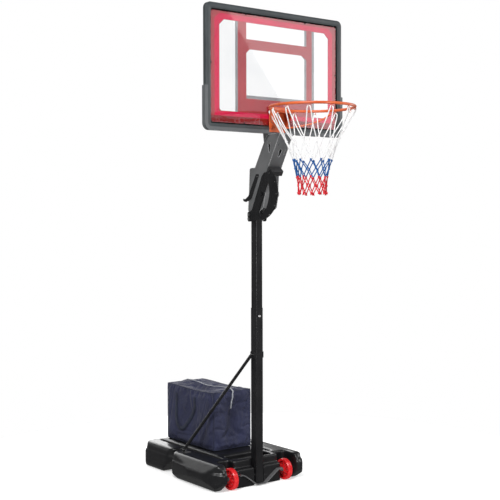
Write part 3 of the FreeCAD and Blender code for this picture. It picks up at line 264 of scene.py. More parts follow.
# The last colour of each film is a painted glow of backlight.
RED_FILM = film("print_red", (0.40, 0.045, 0.055), (0.30, 0.030, 0.038), 0.90, (0.13, 0.008, 0.012))
EDGE_FILM = film("print_magenta", (0.52, 0.004, 0.050), (0.40, 0.002, 0.030), 0.94, (0.27, 0.0, 0.030))
FOOT_FILM = film("print_scarlet", (0.30, 0.001, 0.008), (0.10, 0.0, 0.002), 0.98, (0.06, 0.0, 0.002))
# The grey film is painted shadow, a darker strip beside each window.
WINDOW_SHADOW_FILM = film("painted_shadow_grey", (0.26, 0.26, 0.27), (0.20, 0.20, 0.21), 0.85, (0.10, 0.10, 0.105))

FINISH = {
    "tank_plastic": TANK, "cap_plastic": CAP, "wheel_red": WHEEL, "steel_grey": STEEL, "zinc": ZINC,
    "pole_black": POLE, "plate_black": PLATE, "arm_grey": ARM, "bush_plastic": BUSH, "frame_plastic": FRAME,
    "panel_clear": PANEL, "screw_black": SCREW, "pad_grey": PAD, "rim_orange": RIM, "net_cord": WHITE_CORD,
    "bag_fabric": FABRIC, "bag_webbing": WEBBING, "zip_tape": TAPE,
}
for cad_node in NODES.values():
    for held in cad_node.material_slots:
        base_name = held.material.name.split(".")[0] if held.material else ""
        if base_name in FINISH:
            held.material = FINISH[base_name]
# Black plate finish on the keyhole studs, the pivot bolt and the level link; on the studs and the link, seen
# through the keyholes, the black is painted shade.
for black_node in ("keyhole_studs", "main_pivot_bolt", "level_link"):
    for held in NODES[black_node].material_slots:
        held.material = PLATE


# ---------------------------------------------------------------- mesh helpers

def new_object(name, data):
    made = bpy.data.objects.new(name, data)
    bpy.context.collection.objects.link(made)
    return made


def piece(name, verts, faces, finish, body, slot, *nodes, smooth=40):
    """A mesh that rides on a body, with sharp edges above an angle, standing for the named CAD nodes."""
    mesh = bpy.data.meshes.new(name)
    mesh.from_pydata([tuple(v) for v in verts], [], faces)
    finish_piece(new_object(name, mesh), finish, body, slot, *nodes, smooth=smooth)


def finish_piece(made, finish, body, slot, *nodes, smooth=40):
    """Gives an object its finish and its body, after its mesh is welded and shaded. The slot is not used."""
    mesh = made.data
    tidy = bmesh.new()
    tidy.from_mesh(mesh)
    bmesh.ops.remove_doubles(tidy, verts=tidy.verts, dist=1e-6)
    bmesh.ops.recalc_face_normals(tidy, faces=tidy.faces)
    tidy.to_mesh(mesh)
    tidy.free()
    for face in mesh.polygons:
        face.use_smooth = True
    mesh.set_sharp_from_angle(angle=math.radians(smooth))
    mesh.materials.clear()
    mesh.materials.append(finish)
    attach(made, body)
    if nodes:
        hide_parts(*nodes)


def bake(obj):
    """Gives the object its mesh with the modifiers applied, and takes them off."""
    bpy.context.view_layer.update()
    view = bpy.context.evaluated_depsgraph_get()
    mesh = bpy.data.meshes.new_from_object(obj.evaluated_get(view), depsgraph=view)
    obj.modifiers.clear()
    old = obj.data
    obj.data = mesh
    if old.users == 0:
        bpy.data.meshes.remove(old)


def copy_of(node, name):
    """A new object with a copy of a CAD node's mesh, its corners welded."""
    made = new_object(name, NODES[node].data.copy())
    welded = bmesh.new()
    welded.from_mesh(made.data)
    bmesh.ops.remove_doubles(welded, verts=welded.verts, dist=1e-5)
    welded.to_mesh(made.data)
    welded.free()
    return made


def bridge(first, second):
    """Quads between two rings of vertex numbers."""
    count = len(first)
    return [(first[i], first[(i + 1) % count], second[(i + 1) % count], second[i]) for i in range(count)]


def loft(rings, closed=False, caps=False):
    """Vertices and faces through a list of equal rings of points, joined last to first or capped."""
    verts = [p for ring in rings for p in ring]
    count = len(rings[0])
    numbers = [list(range(i * count, (i + 1) * count)) for i in range(len(rings))]
    faces = []
    pairs = list(zip(numbers, numbers[1:]))
    if closed:
        pairs.append((numbers[-1], numbers[0]))
    for one, two in pairs:
        faces += bridge(one, two)
    if caps:
        faces += [tuple(reversed(numbers[0])), tuple(numbers[-1])]
    return verts, faces


def merged(parts):
    """One mesh from several lists of vertices and faces."""
    verts, faces = [], []
    for more_verts, more_faces in parts:
        start = len(verts)
        verts += more_verts
        faces += [tuple(i + start for i in face) for face in more_faces]
    return verts, faces


def curve_points(points, step):
    """Points spaced evenly along a smooth curve through the given points."""
    line = [Vector(p) for p in points]
    held = [line[0] * 2 - line[1]] + line + [line[-1] * 2 - line[-2]]
    fine = []
    for a, b, c, d in zip(held, held[1:], held[2:], held[3:]):
        pieces = max(2, int((c - b).length / step * 1.5))
        for i in range(pieces):
            t = i / pieces
            fine.append(0.5 * ((2 * b) + (c - a) * t + (2 * a - 5 * b + 4 * c - d) * t * t
                               + (3 * b - a - 3 * c + d) * t ** 3))
    fine.append(line[-1])
    even = [fine[0]]
    left = step
    for a, b in zip(fine, fine[1:]):
        run = (b - a).length
        while run >= left > 0:
            a = a + (b - a) * (left / run)
            even.append(a)
            run -= left
            left = step
        left -= run
    if (even[-1] - fine[-1]).length > 0.3 * step:
        even.append(fine[-1])
    return even


def frames_along(line):
    """A side vector and a second one, carried along a line without twisting."""
    tangents = [direction(line, i) for i in range(len(line))]
    side = tangents[0].orthogonal().normalized()
    out = []
    for tangent in tangents:
        side = (side - tangent * side.dot(tangent)).normalized()
        out.append((side, tangent.cross(side)))
    return out


def circle(count):
    """The angles of points evenly round a circle."""
    return [2 * math.pi * k / count for k in range(count)]


def direction(line, i):
    """The direction of a line of points at one of them."""
    return (line[min(i + 1, len(line) - 1)] - line[max(i - 1, 0)]).normalized()


def rope(points, radius, pitch, step=0.0032, lobes=3, sides=9):
    """A laid rope: a lobed section that turns as it goes along."""
    line = curve_points(points, step)
    rings = []
    for i, (centre, (side, across)) in enumerate(zip(line, frames_along(line))):
        turn = 2 * math.pi * i * step / pitch
        ring = []
        for angle in circle(sides):
            reach = radius * (0.86 + 0.14 * math.cos(lobes * angle))
            ring.append(centre + (side * math.cos(angle + turn) + across * math.sin(angle + turn)) * reach)
        rings.append(ring)
    return loft(rings, caps=True)


def tube(points, radius, step, sides):
    line = curve_points(points, step)
    rings = []
    for centre, (side, across) in zip(line, frames_along(line)):
        rings.append([centre + (side * math.cos(a) + across * math.sin(a)) * radius
                      for a in circle(sides)])
    return loft(rings, caps=True)


def small_ring(centre, axis, major, minor, around=14, sides=6):
    """A torus round an axis."""
    side = axis.orthogonal().normalized()
    across = axis.normalized().cross(side)
    rings = []
    for a in circle(around):
        out = side * math.cos(a) + across * math.sin(a)
        rings.append([centre + out * (major + minor * math.cos(b)) + axis.normalized() * minor * math.sin(b)
                      for b in circle(sides)])
    return loft(rings, closed=True)


def turned(profile, place, segments):
    """A lathed part. The profile is (radius, height) pairs, and place is the matrix that sets it down."""
    rings = []
    for radius, height in profile:
        rings.append([place @ Vector((radius * math.cos(a), radius * math.sin(a), height))
                      for a in circle(segments)])
    return loft(rings, caps=True)


def slab(centre, half, turn=None):
    """A small block with its edges cut back."""
    turn = turn or Matrix.Identity(3)
    cut = min(half) * 0.25
    rings = []
    for z, inset in ((-half[2], cut), (-half[2] + cut, 0), (half[2] - cut, 0), (half[2], cut)):
        a, b = half[0] - inset, half[1] - inset
        rings.append([centre + turn @ Vector(p) for p in ((-a, -b, z), (a, -b, z), (a, b, z), (-a, b, z))])
    return loft(rings, caps=True)


def rounded_outline(low, high, radius, arc=8):
    """Points round a rectangle with rounded corners, in a plane."""
    (x0, z0), (x1, z1) = low, high
    points = []
    corners = ((x1 - radius, z0 + radius, -90), (x1 - radius, z1 - radius, 0),
               (x0 + radius, z1 - radius, 90), (x0 + radius, z0 + radius, 180))
    for cx, cz, start in corners:
        for i in range(arc + 1):
            a = math.radians(start + 90 * i / arc)
            points.append((cx + radius * math.cos(a), cz + radius * math.sin(a)))
    return points


FILM_THICK = 0.0001


def flat_shape(name, outlines, y, finish):
    """A thin printed layer in the panel's plane. The outlines after the first are holes or islands."""
    curve = bpy.data.curves.new(name, "CURVE")
    curve.dimensions = "2D"
    curve.fill_mode = "BOTH"
    curve.extrude = FILM_THICK / 2
    for outline in outlines:
        spline = curve.splines.new("POLY")
        spline.points.add(len(outline) - 1)
        for point, (x, z) in zip(spline.points, outline):
            point.co = (x, z, 0, 1)
        spline.use_cyclic_u = True
    holder = new_object(name + "_curve", curve)
    bpy.context.view_layer.update()
    mesh = bpy.data.meshes.new_from_object(holder)
    bpy.data.objects.remove(holder)
    mesh.transform(Matrix.Translation((0, y, 0)) @ Matrix.Rotation(math.pi / 2, 4, "X"))
    finish_piece(new_object(name, mesh), finish, "backboard", "panel_clear")


# ---------------------------------------------------------------- base

TANK_VOXEL = 0.0045
TANK_SMOOTHING = 26


def build_tank():
    """The blow-moulded tank: the CAD shape with every edge rounded as moulding leaves it."""
    tank = copy_of("base_tank", "tank_shell")
    remesh = tank.modifiers.new("cells", "REMESH")
    remesh.mode = "VOXEL"
    remesh.voxel_size = TANK_VOXEL
    soften = tank.modifiers.new("soften", "SMOOTH")
    soften.factor = 0.6
    soften.iterations = TANK_SMOOTHING
    bake(tank)
    finish_piece(tank, TANK, "stand", "tank_plastic", "base_tank", smooth=80)


def build_wheel(name, side):
    """Moulded ribs round both shoulders of the wheel and a ring of lugs on its hub."""
    centre = Vector((side * WHEEL_X, AXLE_Y, AXLE_Z))
    parts = []
    for a in circle(40):
        out = Vector((0, math.cos(a), math.sin(a)))
        turn = Matrix.Rotation(a, 3, "X")
        for face in (-1, 1):
            spot = centre + out * 0.0560 + Vector((face * 0.0156, 0, 0))
            parts.append(slab(spot, (0.0011, 0.0052, 0.0012), turn))
    for i in range(6):
        a = math.radians(30 + 60 * i)
        turn = Matrix.Rotation(a, 3, "X")
        for face in (-1, 1):
            spot = centre + Vector((face * 0.0075, 0.033 * math.cos(a), 0.033 * math.sin(a)))
            parts.append(slab(spot, (0.0035, 0.0155, 0.0016), turn))
    piece(name + "_ribs", *merged(parts), WHEEL, name, "wheel_red")


# ---------------------------------------------------------------- board

def frame_ring(name, sections, finish, slot):
    """A moulding swept round the board: each section is (inset, y)."""
    rings = []
    for inset, y in sections:
        radius = max(0.034 - inset, 0.010)
        outline = rounded_outline((-BOARD_HALF + inset, BOARD_FOOT + inset),
                                  (BOARD_HALF - inset, BOARD_FOOT + BOARD_HEIGHT - inset), radius)
        rings.append([Vector((x, y, z)) for x, z in outline])
    piece(name, *loft(rings, closed=True), finish, "backboard", slot, smooth=32)


def window(corners):
    """An outline on the board, given in millimetres from the middle of its foot."""
    return [(x / 1000, BOARD_FOOT + z / 1000) for x, z in corners]


PRINT_BACK = PANEL_REAR + 0.0008
PRINT_FRONT = PANEL_REAR + 0.0003


def build_board():
    """The moulded frame's face and lip, and the print on the clear panel's rear with painted shadow beside
    its windows.
    """
    front = POLE_Y - 0.194
    frame_ring("frame_face", [(0.0012, front + 0.006), (0.0012, front - 0.0006), (0.0035, front - 0.0022),
                              (0.0120, front - 0.0030), (0.0215, front - 0.0030), (0.0275, front - 0.0016),
                              (0.0300, front - 0.0002), (0.0302, front + 0.006)], FRAME, "frame_plastic")
    # The lip takes the black screw finish, darker than the face: painted shade on the frame's sides.
    frame_ring("frame_lip", [(0.0300, front + 0.0010), (0.0325, front + 0.0006), (0.0390, front + 0.0052),
                             (0.0405, PANEL_REAR - 0.0042), (0.0300, PANEL_REAR - 0.0042)], SCREW,
               "frame_plastic")
    left = [(-400, 582), (-369, 612), (-291, 612), (-291, 105), (-388, 105), (-400, 116)]
    top = [(-213, 519), (-213, 612), (216, 612), (216, 519)]
    middle = [(-213, 202), (-213, 440), (-190, 463), (193, 463), (216, 440), (216, 202)]
    right = [(-x, z) for x, z in left[::-1]]
    left_grey = [(-400, 582), (-369, 612), (-273, 612), (-273, 105), (-388, 105), (-400, 116)]
    top_grey = [(-213, 519), (-213, 612), (232, 612), (232, 519)]
    middle_grey = [(-213, 184), (-213, 440), (-190, 463), (193, 463), (232, 440), (232, 184)]
    right_grey = [(273, 105), (273, 612), (369, 612), (400, 582), (400, 116), (388, 105)]
    openings = [left_grey, top_grey, middle_grey, right_grey]
    sheet = [(-472, 32), (472, 32), (472, 665), (-472, 665)]
    flat_shape("print_red", [window(o) for o in [sheet] + openings], PRINT_BACK, RED_FILM)
    # The grey film fills the strip between each widened outline and its window: painted shadow beside the
    # windows.
    for name, outer, inner in (("left", left_grey, left), ("top", top_grey, top),
                               ("middle", middle_grey, middle), ("right", right_grey, right)):
        flat_shape("painted_window_shadow_" + name, [window(outer), window(shrunk(inner))], PRINT_BACK, WINDOW_SHADOW_FILM)
    stripe = [(-434, 78), (434, 78), (434, 614), (404, 644), (-404, 644), (-434, 614)]
    inner = [(-402, 103), (402, 103), (402, 583), (371, 614), (-371, 614), (-402, 583)]
    foot = [(-462, 44), (462, 44), (462, 76), (-462, 76)]
    flat_shape("print_foot", [window(foot)], PRINT_FRONT, FOOT_FILM)
    flat_shape("print_border", [window(stripe), window(inner)], PRINT_FRONT, EDGE_FILM)


def shrunk(corners):
    """The same outline pulled in by a hair, so that it lies inside the outline round it."""
    cx = sum(x for x, _ in corners) / len(corners)
    cz = sum(z for _, z in corners) / len(corners)
    return [(x - 0.3 * (1 if x > cx else -1), z - 0.3 * (1 if z > cz else -1)) for x, z in corners]


ARM_WALL_X = 0.0462


def build_keyhole_shade_plugs():
    """Black plastic plugs set back in the arm's keyholes, on both its sides and on its front; their black is
    also painted shade, standing in for the dark inside the keyholes.
    """
    slope = Vector((0, -0.132, 0.233)).normalized()
    keyhole = Vector((0, POLE_Y - 0.152, 1.850)) + slope * 0.158
    inward = Vector((0, slope.z, -slope.y))
    parts = []
    for side in (-1, 1):
        centre = keyhole + inward * 0.052 + Vector((side * ARM_WALL_X, 0, -0.008))
        parts.append(slab(centre, (0.0006, 0.017, 0.036)))
    tilt = Matrix((Vector((1, 0, 0)), inward, slope)).transposed()
    parts.append(slab(keyhole + inward * 0.0042 - slope * 0.010, (0.024, 0.0006, 0.042), tilt))
    piece("keyhole_shade_plugs", *merged(parts), PLATE, "lift_arm", "screw_black")


def build_screws():
    """Domed screw heads with a recess, each where the CAD has a screw."""
    parts = []
    half, low, high = 0.459, BOARD_FOOT + 0.041, BOARD_FOOT + 0.656
    middle = (low + high) / 2 + 0.020
    spots = [(x, high) for x in (-half, -0.218, 0.218, half)] + [(x, middle) for x in (-half, half)]
    spots += [(x, low) for x in (-half, -0.230, 0.230, half)]
    profile = [(0.0060, 0.0), (0.0060, 0.0007), (0.0054, 0.0019), (0.0038, 0.0027), (0.0024, 0.0029),
               (0.0020, 0.0018), (0.0004, 0.0014)]
    for x, z in spots:
        place = Matrix.Translation((x, -0.2301, z)) @ Matrix.Rotation(math.pi / 2, 4, "X")
        parts.append(turned(profile, place, 18))
    piece("screw_heads", *merged(parts), SCREW, "backboard", "screw_black", "frame_screws")


# ---------------------------------------------------------------- net

NET_TOP = RING.z - ROD_RADIUS - 0.016
# (drop, radius) down the net, in millimetres, and the drops of its rows of knots in metres.
NET_WIDTHS = [(0, 226), (90, 186), (180, 146), (282, 110), (381, 84), (474, 86)]
NET_LEVELS = [0.168, 0.270, 0.318, 0.366, 0.411, 0.455]
CORD = 0.0036
LAY = 0.019
KNOT = 0.0038
KNOT_CORD = 0.0028
LOOPS = 12


def net_point(column, drop, wobble):
    """A place on the net, a cord's breadth inside the CAD funnel. column counts the hooks."""
    widths = [(d / 1000, r / 1000) for d, r in NET_WIDTHS]
    radius = widths[-1][1]
    for (d0, r0), (d1, r1) in zip(widths, widths[1:]):
        if d0 <= drop <= d1:
            radius = r0 + (r1 - r0) * (drop - d0) / (d1 - d0)
            break
    radius -= 0.0034 + wobble
    a = math.radians(15 + 30 * column)
    return Vector((radius * math.cos(a), RING.y + radius * math.sin(a), NET_TOP - drop))


def build_net():
    """White loops from the hooks, then diamonds in three colours, knotted where they cross."""
    knots = []
    for level, drop in enumerate(NET_LEVELS):
        offset = 0.5 if level % 2 == 0 else 0.0
        row = []
        for i in range(LOOPS):
            spot = net_point(i + offset + rng.uniform(-0.04, 0.04), drop + rng.uniform(-0.004, 0.003),
                             rng.uniform(-0.002, 0.006))
            row.append(spot)
        knots.append(row)
    white, blue, red = [], [], []
    for i in range(LOOPS):
        a = math.radians(15 + 30 * i)
        out = Vector((math.cos(a), math.sin(a), 0))
        along = Vector((-math.sin(a), math.cos(a), 0))
        hook = Vector((0, RING.y, RING.z - ROD_RADIUS - 0.0066)) + out * RING_RADIUS
        low = hook + Vector((0, 0, 0.0003))
        left_knot, right_knot = knots[0][i - 1], knots[0][i]
        slack = rng.uniform(0.004, 0.010)
        down = Vector((0, 0, 0.05))
        path = [left_knot, left_knot.lerp(low, 0.5) + out * slack, low - along * 0.010 - down * 0.35,
                low - along * 0.004 - Vector((0, 0, 0.004)), low, low + along * 0.004 - Vector((0, 0, 0.004)),
                low + along * 0.010 - down * 0.35, right_knot.lerp(low, 0.5) + out * slack, right_knot]
        white.append(rope(path, CORD, LAY))
    for level, (upper, lower) in enumerate(zip(knots, knots[1:])):
        store = white if level == 0 else blue if level in (1, 2) else red
        for i in range(LOOPS):
            neighbours = (i, i + 1) if level % 2 == 0 else (i - 1, i)
            for j in neighbours:
                a, b = upper[i], lower[j % LOOPS]
                out = Vector((a.x + b.x, a.y + b.y - 2 * RING.y, 0)).normalized()
                bow = a.lerp(b, 0.5) - out * rng.uniform(-0.001, 0.003)
                bow += Vector((0, 0, rng.uniform(-0.002, 0.001)))
                store.append(rope([a, bow, b], CORD, LAY))
    for level, row in enumerate(knots):
        store = white if level == 0 else blue if level in (1, 2) else red
        for spot in row:
            out = Vector((spot.x, spot.y - RING.y, 0)).normalized()
            tilt = Vector((rng.uniform(-0.5, 0.5), rng.uniform(-0.5, 0.5), 1.0))
            store.append(small_ring(spot + Vector((0, 0, 0.0022)), tilt.normalized(), KNOT, KNOT_CORD))
            leaning = (tilt + out).normalized()
            store.append(small_ring(spot - Vector((0, 0, 0.0018)), leaning, KNOT, KNOT_CORD))
    for spot in knots[-1]:
        for turn in (-1, 1):
            out = Vector((spot.x, spot.y - RING.y, 0)).normalized()
            along = Vector((-out.y, out.x, 0)) * turn
            end = spot + along * rng.uniform(0.002, 0.007) - Vector((0, 0, rng.uniform(0.006, 0.010)))
            red.append(rope([spot, spot.lerp(end, 0.5) + along * 0.002, end], 0.0030, 0.015, 0.002))
    for name, cords, finish in (("net_white", white, WHITE_CORD), ("net_blue", blue, BLUE_CORD),
                                ("net_red", red, RED_CORD)):
        piece(name, *merged(cords), finish, "backboard", "net_cord", "net", smooth=70)


# ---------------------------------------------------------------- bag

BAG_LOW = Vector((-0.148, 0.200, 0.1684))
BAG_HIGH = Vector((0.148, 0.737, 0.534))
BAG_VOXEL = 0.006
HOLD_REACH = 0.010
CLOTH_STEPS = 20
CLOTH_PRESSURE = 3.0
CLOTH_SHRINK = -0.035
CLOTH_REACH = 0.013


def bag_start():
    """The bag before the simulation: a box a little smaller than the CAD one, its top already slack."""
    solid = bmesh.new()
    bmesh.ops.create_cube(solid, size=1.0)
    low = BAG_LOW + Vector((0.006, 0.006, 0.0))
    high = BAG_HIGH - Vector((0.006, 0.006, 0.004))
    for vert in solid.verts:
        vert.co = Vector(low[k] if vert.co[k] < 0 else high[k] for k in range(3))
    mesh = bpy.data.meshes.new("bag")
    solid.to_mesh(mesh)
    solid.free()
    bag = new_object("bag", mesh)
    cells = bag.modifiers.new("cells", "REMESH")
    cells.mode = "VOXEL"
    cells.voxel_size = BAG_VOXEL
    bake(bag)
    return bag, low, high


def bag_slack(p, low, high):
    """How far a point of the box starts from its place.

    The top dips each side of the zip, and the sides lean in.
    """
    u = (p.x - low.x) / (high.x - low.x)
    v = (p.y - low.y) / (high.y - low.y)
    w = (p.z - low.z) / (high.z - low.z)
    shift = Vector((0, 0, 0))
    round_u = math.sin(math.pi * min(max(u, 0), 1))
    round_v = math.sin(math.pi * min(max(v, 0), 1))
    dip = 0.026 * abs(math.sin(2 * math.pi * u)) * round_v + 0.003 * round_u * round_v
    dip += 0.012 * round_v * (1 - v) * (1 - round_u)
    shift.z -= dip * max(0.0, w - 0.75) / 0.25
    waist = math.sin(math.pi * min(max(w, 0), 1))
    shift.x += (0.010 if u < 0.5 else -0.010) * abs(2 * u - 1) ** 6 * waist * round_v
    shift.y += (0.011 if v < 0.5 else -0.011) * abs(2 * v - 1) ** 6 * waist * round_u
    return shift


# Creases, each from one place on a face to another, with its depth: (y, z) on the sides, (x, z) on the front
# and the back, and (x, y) on the top.
SIDE_FOLDS = [((0.222, 0.512), (0.300, 0.270), 0.0050), ((0.262, 0.500), (0.330, 0.330), 0.0040),
              ((0.365, 0.430), (0.372, 0.230), 0.0045), ((0.640, 0.500), (0.705, 0.260), 0.0050),
              ((0.300, 0.505), (0.520, 0.490), 0.0035), ((0.420, 0.235), (0.600, 0.215), 0.0040)]
FRONT_FOLDS = [((-0.012, 0.420), (-0.045, 0.250), 0.0055), ((0.030, 0.470), (0.024, 0.270), 0.0050),
               ((-0.118, 0.505), (-0.070, 0.330), 0.0045), ((0.118, 0.500), (0.070, 0.300), 0.0050),
               ((-0.080, 0.215), (0.060, 0.225), 0.0035)]
TOP_FOLDS = [((-0.120, 0.300), (-0.030, 0.380), 0.0050), ((-0.130, 0.420), (-0.030, 0.460), 0.0045),
             ((0.030, 0.330), (0.120, 0.260), 0.0050), ((-0.110, 0.600), (-0.030, 0.560), 0.0045),
             ((0.030, 0.500), (0.120, 0.520), 0.0045), ((0.040, 0.640), (0.120, 0.680), 0.0040)]


def fold_depth(a, b, folds):
    """How deep the creases lie at a place on a face, each a soft groove with a raised lip beside it."""
    depth = 0.0
    for (a0, b0), (a1, b1), deep in folds:
        run = math.hypot(a1 - a0, b1 - b0)
        ua, ub = (a1 - a0) / run, (b1 - b0) / run
        along = (a - a0) * ua + (b - b0) * ub
        across = -(a - a0) * ub + (b - b0) * ua
        ends = math.exp(-(max(0.0, -along, along - run) / 0.018) ** 2)
        wide = 0.007 + 0.010 * min(max(along / run, 0.0), 1.0)
        groove = math.exp(-(across / wide) ** 2) - 0.55 * math.exp(-((across - 2 * wide) / (1.4 * wide)) ** 2)
        depth += deep * groove * ends
    return depth


def crease(bag, low, high):
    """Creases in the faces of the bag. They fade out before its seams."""
    for vert in bag.data.vertices:
        p = vert.co
        inside = [min(p[k] - low[k], high[k] - p[k]) for k in range(3)]
        face = inside.index(min(inside))
        others = [inside[k] for k in range(3) if k != face]
        fade = min(1.0, max(0.0, min(others) / 0.020))
        if face == 0:
            p.x += math.copysign(fold_depth(p.y, p.z, SIDE_FOLDS) * fade, -p.x)
        elif face == 1:
            p.y += math.copysign(fold_depth(p.x, p.z, FRONT_FOLDS) * fade, (low.y + high.y) / 2 - p.y)
        elif p.z > 0.4:
            p.z -= fold_depth(p.x, p.y, TOP_FOLDS) * fade * min(1.0, max(0.0, abs(p.x) / 0.02 - 0.5))


def build_bag():
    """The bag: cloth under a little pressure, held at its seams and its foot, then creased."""
    bag, low, high = bag_start()
    mesh = bag.data
    hold = bag.vertex_groups.new(name="hold")
    for vert in mesh.vertices:
        p = vert.co.copy()
        faces_met = sum(min(p[k] - low[k], high[k] - p[k]) < HOLD_REACH for k in range(3))
        resting = p.z < low.z + 0.004
        weight = 1.0 if faces_met >= 2 or resting else 0.0
        hold.add([vert.index], weight, "REPLACE")
        vert.co = p + bag_slack(p, low, high)
    start = [v.co.copy() for v in mesh.vertices]
    cloth = bag.modifiers.new("cloth", "CLOTH")
    cloth.settings.quality = 4
    cloth.settings.mass = 0.3
    cloth.settings.use_pressure = True
    cloth.settings.uniform_pressure_force = CLOTH_PRESSURE
    cloth.settings.effector_weights.gravity = 0
    cloth.settings.shrink_min = CLOTH_SHRINK
    cloth.settings.shrink_max = CLOTH_SHRINK
    cloth.settings.vertex_group_mass = "hold"
    cloth.settings.bending_stiffness = 0.6
    scene = bpy.context.scene
    for number in range(1, CLOTH_STEPS + 1):
        scene.frame_set(number)
    bake(bag)
    scene.frame_set(1)
    for vert, place in zip(bag.data.vertices, start):
        move = vert.co - place
        if move.length > CLOTH_REACH:
            vert.co = place + move * (CLOTH_REACH / move.length)
        vert.co.z = max(vert.co.z, low.z)
        vert.co.y = max(vert.co.y, BAG_LOW.y - 0.004)
    crease(bag, low, high)
    subdivide = bag.modifiers.new("finer", "SUBSURF")
    subdivide.levels = 1
    subdivide.render_levels = 1
    bake(bag)
    finish_piece(bag, FABRIC, "weight_bag", "bag_fabric", "weight_bag", smooth=80)
    return bag


def surface_tree(obj):
    """The object's surface, for finding places on it."""
    return BVHTree.FromPolygons([v.co.copy() for v in obj.data.vertices],
                                [tuple(p.vertices) for p in obj.data.polygons])


def on_side(tree, side, y, z, gap):
    """The point on the bag's side at that place, a gap outside it."""
    hit = tree.ray_cast(Vector((side * 0.4, y, z)), Vector((-side, 0, 0)))
    x = hit[0].x if hit[0] else side * BAG_HIGH.x
    return Vector((x + side * gap, y, z))


def on_top(tree, x, y, gap):
    hit = tree.ray_cast(Vector((x, y, 0.8)), Vector((0, 0, -1)))
    z = hit[0].z if hit[0] else BAG_HIGH.z
    return Vector((x, y, z + gap))


def on_front(tree, x, z, gap):
    hit = tree.ray_cast(Vector((x, 0.1, z)), Vector((0, 1, 0)))
    y = hit[0].y if hit[0] else BAG_LOW.y
    return Vector((x, y - gap, z))


def band(line, widths, outs, thick):
    """A flat strap along a line. widths point across it and outs away from the surface it lies on."""
    rings = []
    for centre, across, out in zip(line, widths, outs):
        t = thick / 2
        rings.append([centre - across - out * t * 0.3, centre - across * 0.94 - out * t,
                      centre + across * 0.94 - out * t, centre + across - out * t * 0.3,
                      centre + across + out * t * 0.3, centre + across * 0.94 + out * t,
                      centre - across * 0.94 + out * t, centre - across + out * t * 0.3])
    return loft(rings, caps=True)


def stitch_row(points, out, length=0.0034, gap=0.0024, radius=0.00042):
    """Short threads along a line of points, raised in the outward direction."""
    parts = []
    step = length + gap
    line = curve_points(points, step)
    for a, b in zip(line, line[1:]):
        share = length / max((b - a).length, 1e-6)
        end = a.lerp(b, min(share, 1.0))
        middle = a.lerp(end, 0.5) + out * 0.0006
        parts.append(tube([a + out * 0.0001, middle, end + out * 0.0001], radius, length / 3, 5))
    return parts


STRAP_HALF = 0.0130
STRAP_THICK = 0.0022
STRAP_SPOTS = [(0.603, 0.478), (0.605, 0.430), (0.610, 0.370), (0.607, 0.318), (0.588, 0.277), (0.552, 0.260),
               (0.512, 0.276), (0.470, 0.322), (0.433, 0.378), (0.407, 0.428), (0.399, 0.478)]


def build_handles(tree):
    """The carrying loops, lying on the bag's sides, each end sewn on with a crossed box."""
    straps, threads = [], []
    for side in (-1, 1):
        out = Vector((side, 0, 0))
        flat = curve_points([Vector((0, y, z)) for y, z in STRAP_SPOTS], 0.005)
        line, widths = [], []
        for i, p in enumerate(flat):
            share = i / (len(flat) - 1)
            lift = 0.0012 + 0.0050 * math.sin(math.pi * share) ** 2
            line.append(on_side(tree, side, p.y, p.z, lift))
            run = direction(flat, i)
            widths.append(Vector((0, -run.z, run.y)) * STRAP_HALF)
        straps.append(band(line, widths, [out] * len(line), STRAP_THICK))
        for y in (0.400, 0.603):
            box = [(y - 0.009, 0.476), (y + 0.009, 0.476), (y + 0.009, 0.446), (y - 0.009, 0.446)]
            crossed = [(box[0], box[2]), (box[1], box[3])]
            for (y0, z0), (y1, z1) in list(zip(box, box[1:] + box[:1])) + crossed:
                run = [on_side(tree, side, y0 + (y1 - y0) * t, z0 + (z1 - z0) * t, 0.0026)
                       for t in (0, 0.5, 1)]
                threads += stitch_row(run, out)
    piece("handle_straps", *merged(straps), WEBBING, "weight_bag", "bag_webbing", "bag_handles", smooth=50)
    piece("handle_stitches", *merged(threads), THREAD, "weight_bag", "bag_webbing", smooth=60)


ZIP_GAP = 0.0010
ZIP_SAMPLE = 0.012
ZIP_STEP = 0.006
ZIP_HALF = 0.0044
ZIP_THICK = 0.0014
TOOTH_STEP = 0.0021
TOOTH_SHIFT = 0.0006


def build_zip(tree):
    """The tape and its teeth, over the top and down the front, and the slider with its ring and tab."""
    top = [on_top(tree, 0, 0.722 - ZIP_SAMPLE * i, ZIP_GAP) for i in range(43)]
    corner = Vector((0, BAG_LOW.y - 0.0005, BAG_HIGH.z - 0.010))
    front = [on_front(tree, 0, 0.512 - ZIP_SAMPLE * i, ZIP_GAP) for i in range(9)]
    turn_in = top[-1].lerp(corner, 0.6) + Vector((0, 0, 0.004))
    line = curve_points(top + [turn_in, corner] + front, ZIP_STEP)
    sideways = Vector((1, 0, 0))
    outs = [direction(line, i).cross(sideways).normalized() * -1 for i in range(len(line))]
    if outs[3].z < 0:
        outs = [-o for o in outs]
    tape = band(line, [Vector((ZIP_HALF, 0, 0))] * len(line), outs, ZIP_THICK)
    teeth = []
    fine = curve_points(line, TOOTH_STEP)
    for i in range(1, len(fine) - 1):
        run = direction(fine, i)
        out = sideways.cross(run).normalized()
        if out.dot(outs[min(int(i * TOOTH_STEP / ZIP_STEP), len(outs) - 1)]) < 0:
            out = -out
        turn = Matrix((sideways, run, out)).transposed()
        shift = Vector((TOOTH_SHIFT if i % 2 else -TOOTH_SHIFT, 0, 0))
        teeth.append(slab(fine[i] + out * ZIP_GAP + shift, (0.0015, 0.00065, 0.0006), turn))
    piece("zip_strip", *tape, TAPE, "weight_bag", "zip_tape", "bag_zip", smooth=50)
    piece("zip_teeth", *merged(teeth), TAPE, "weight_bag", "zip_tape", smooth=30)
    build_slider()


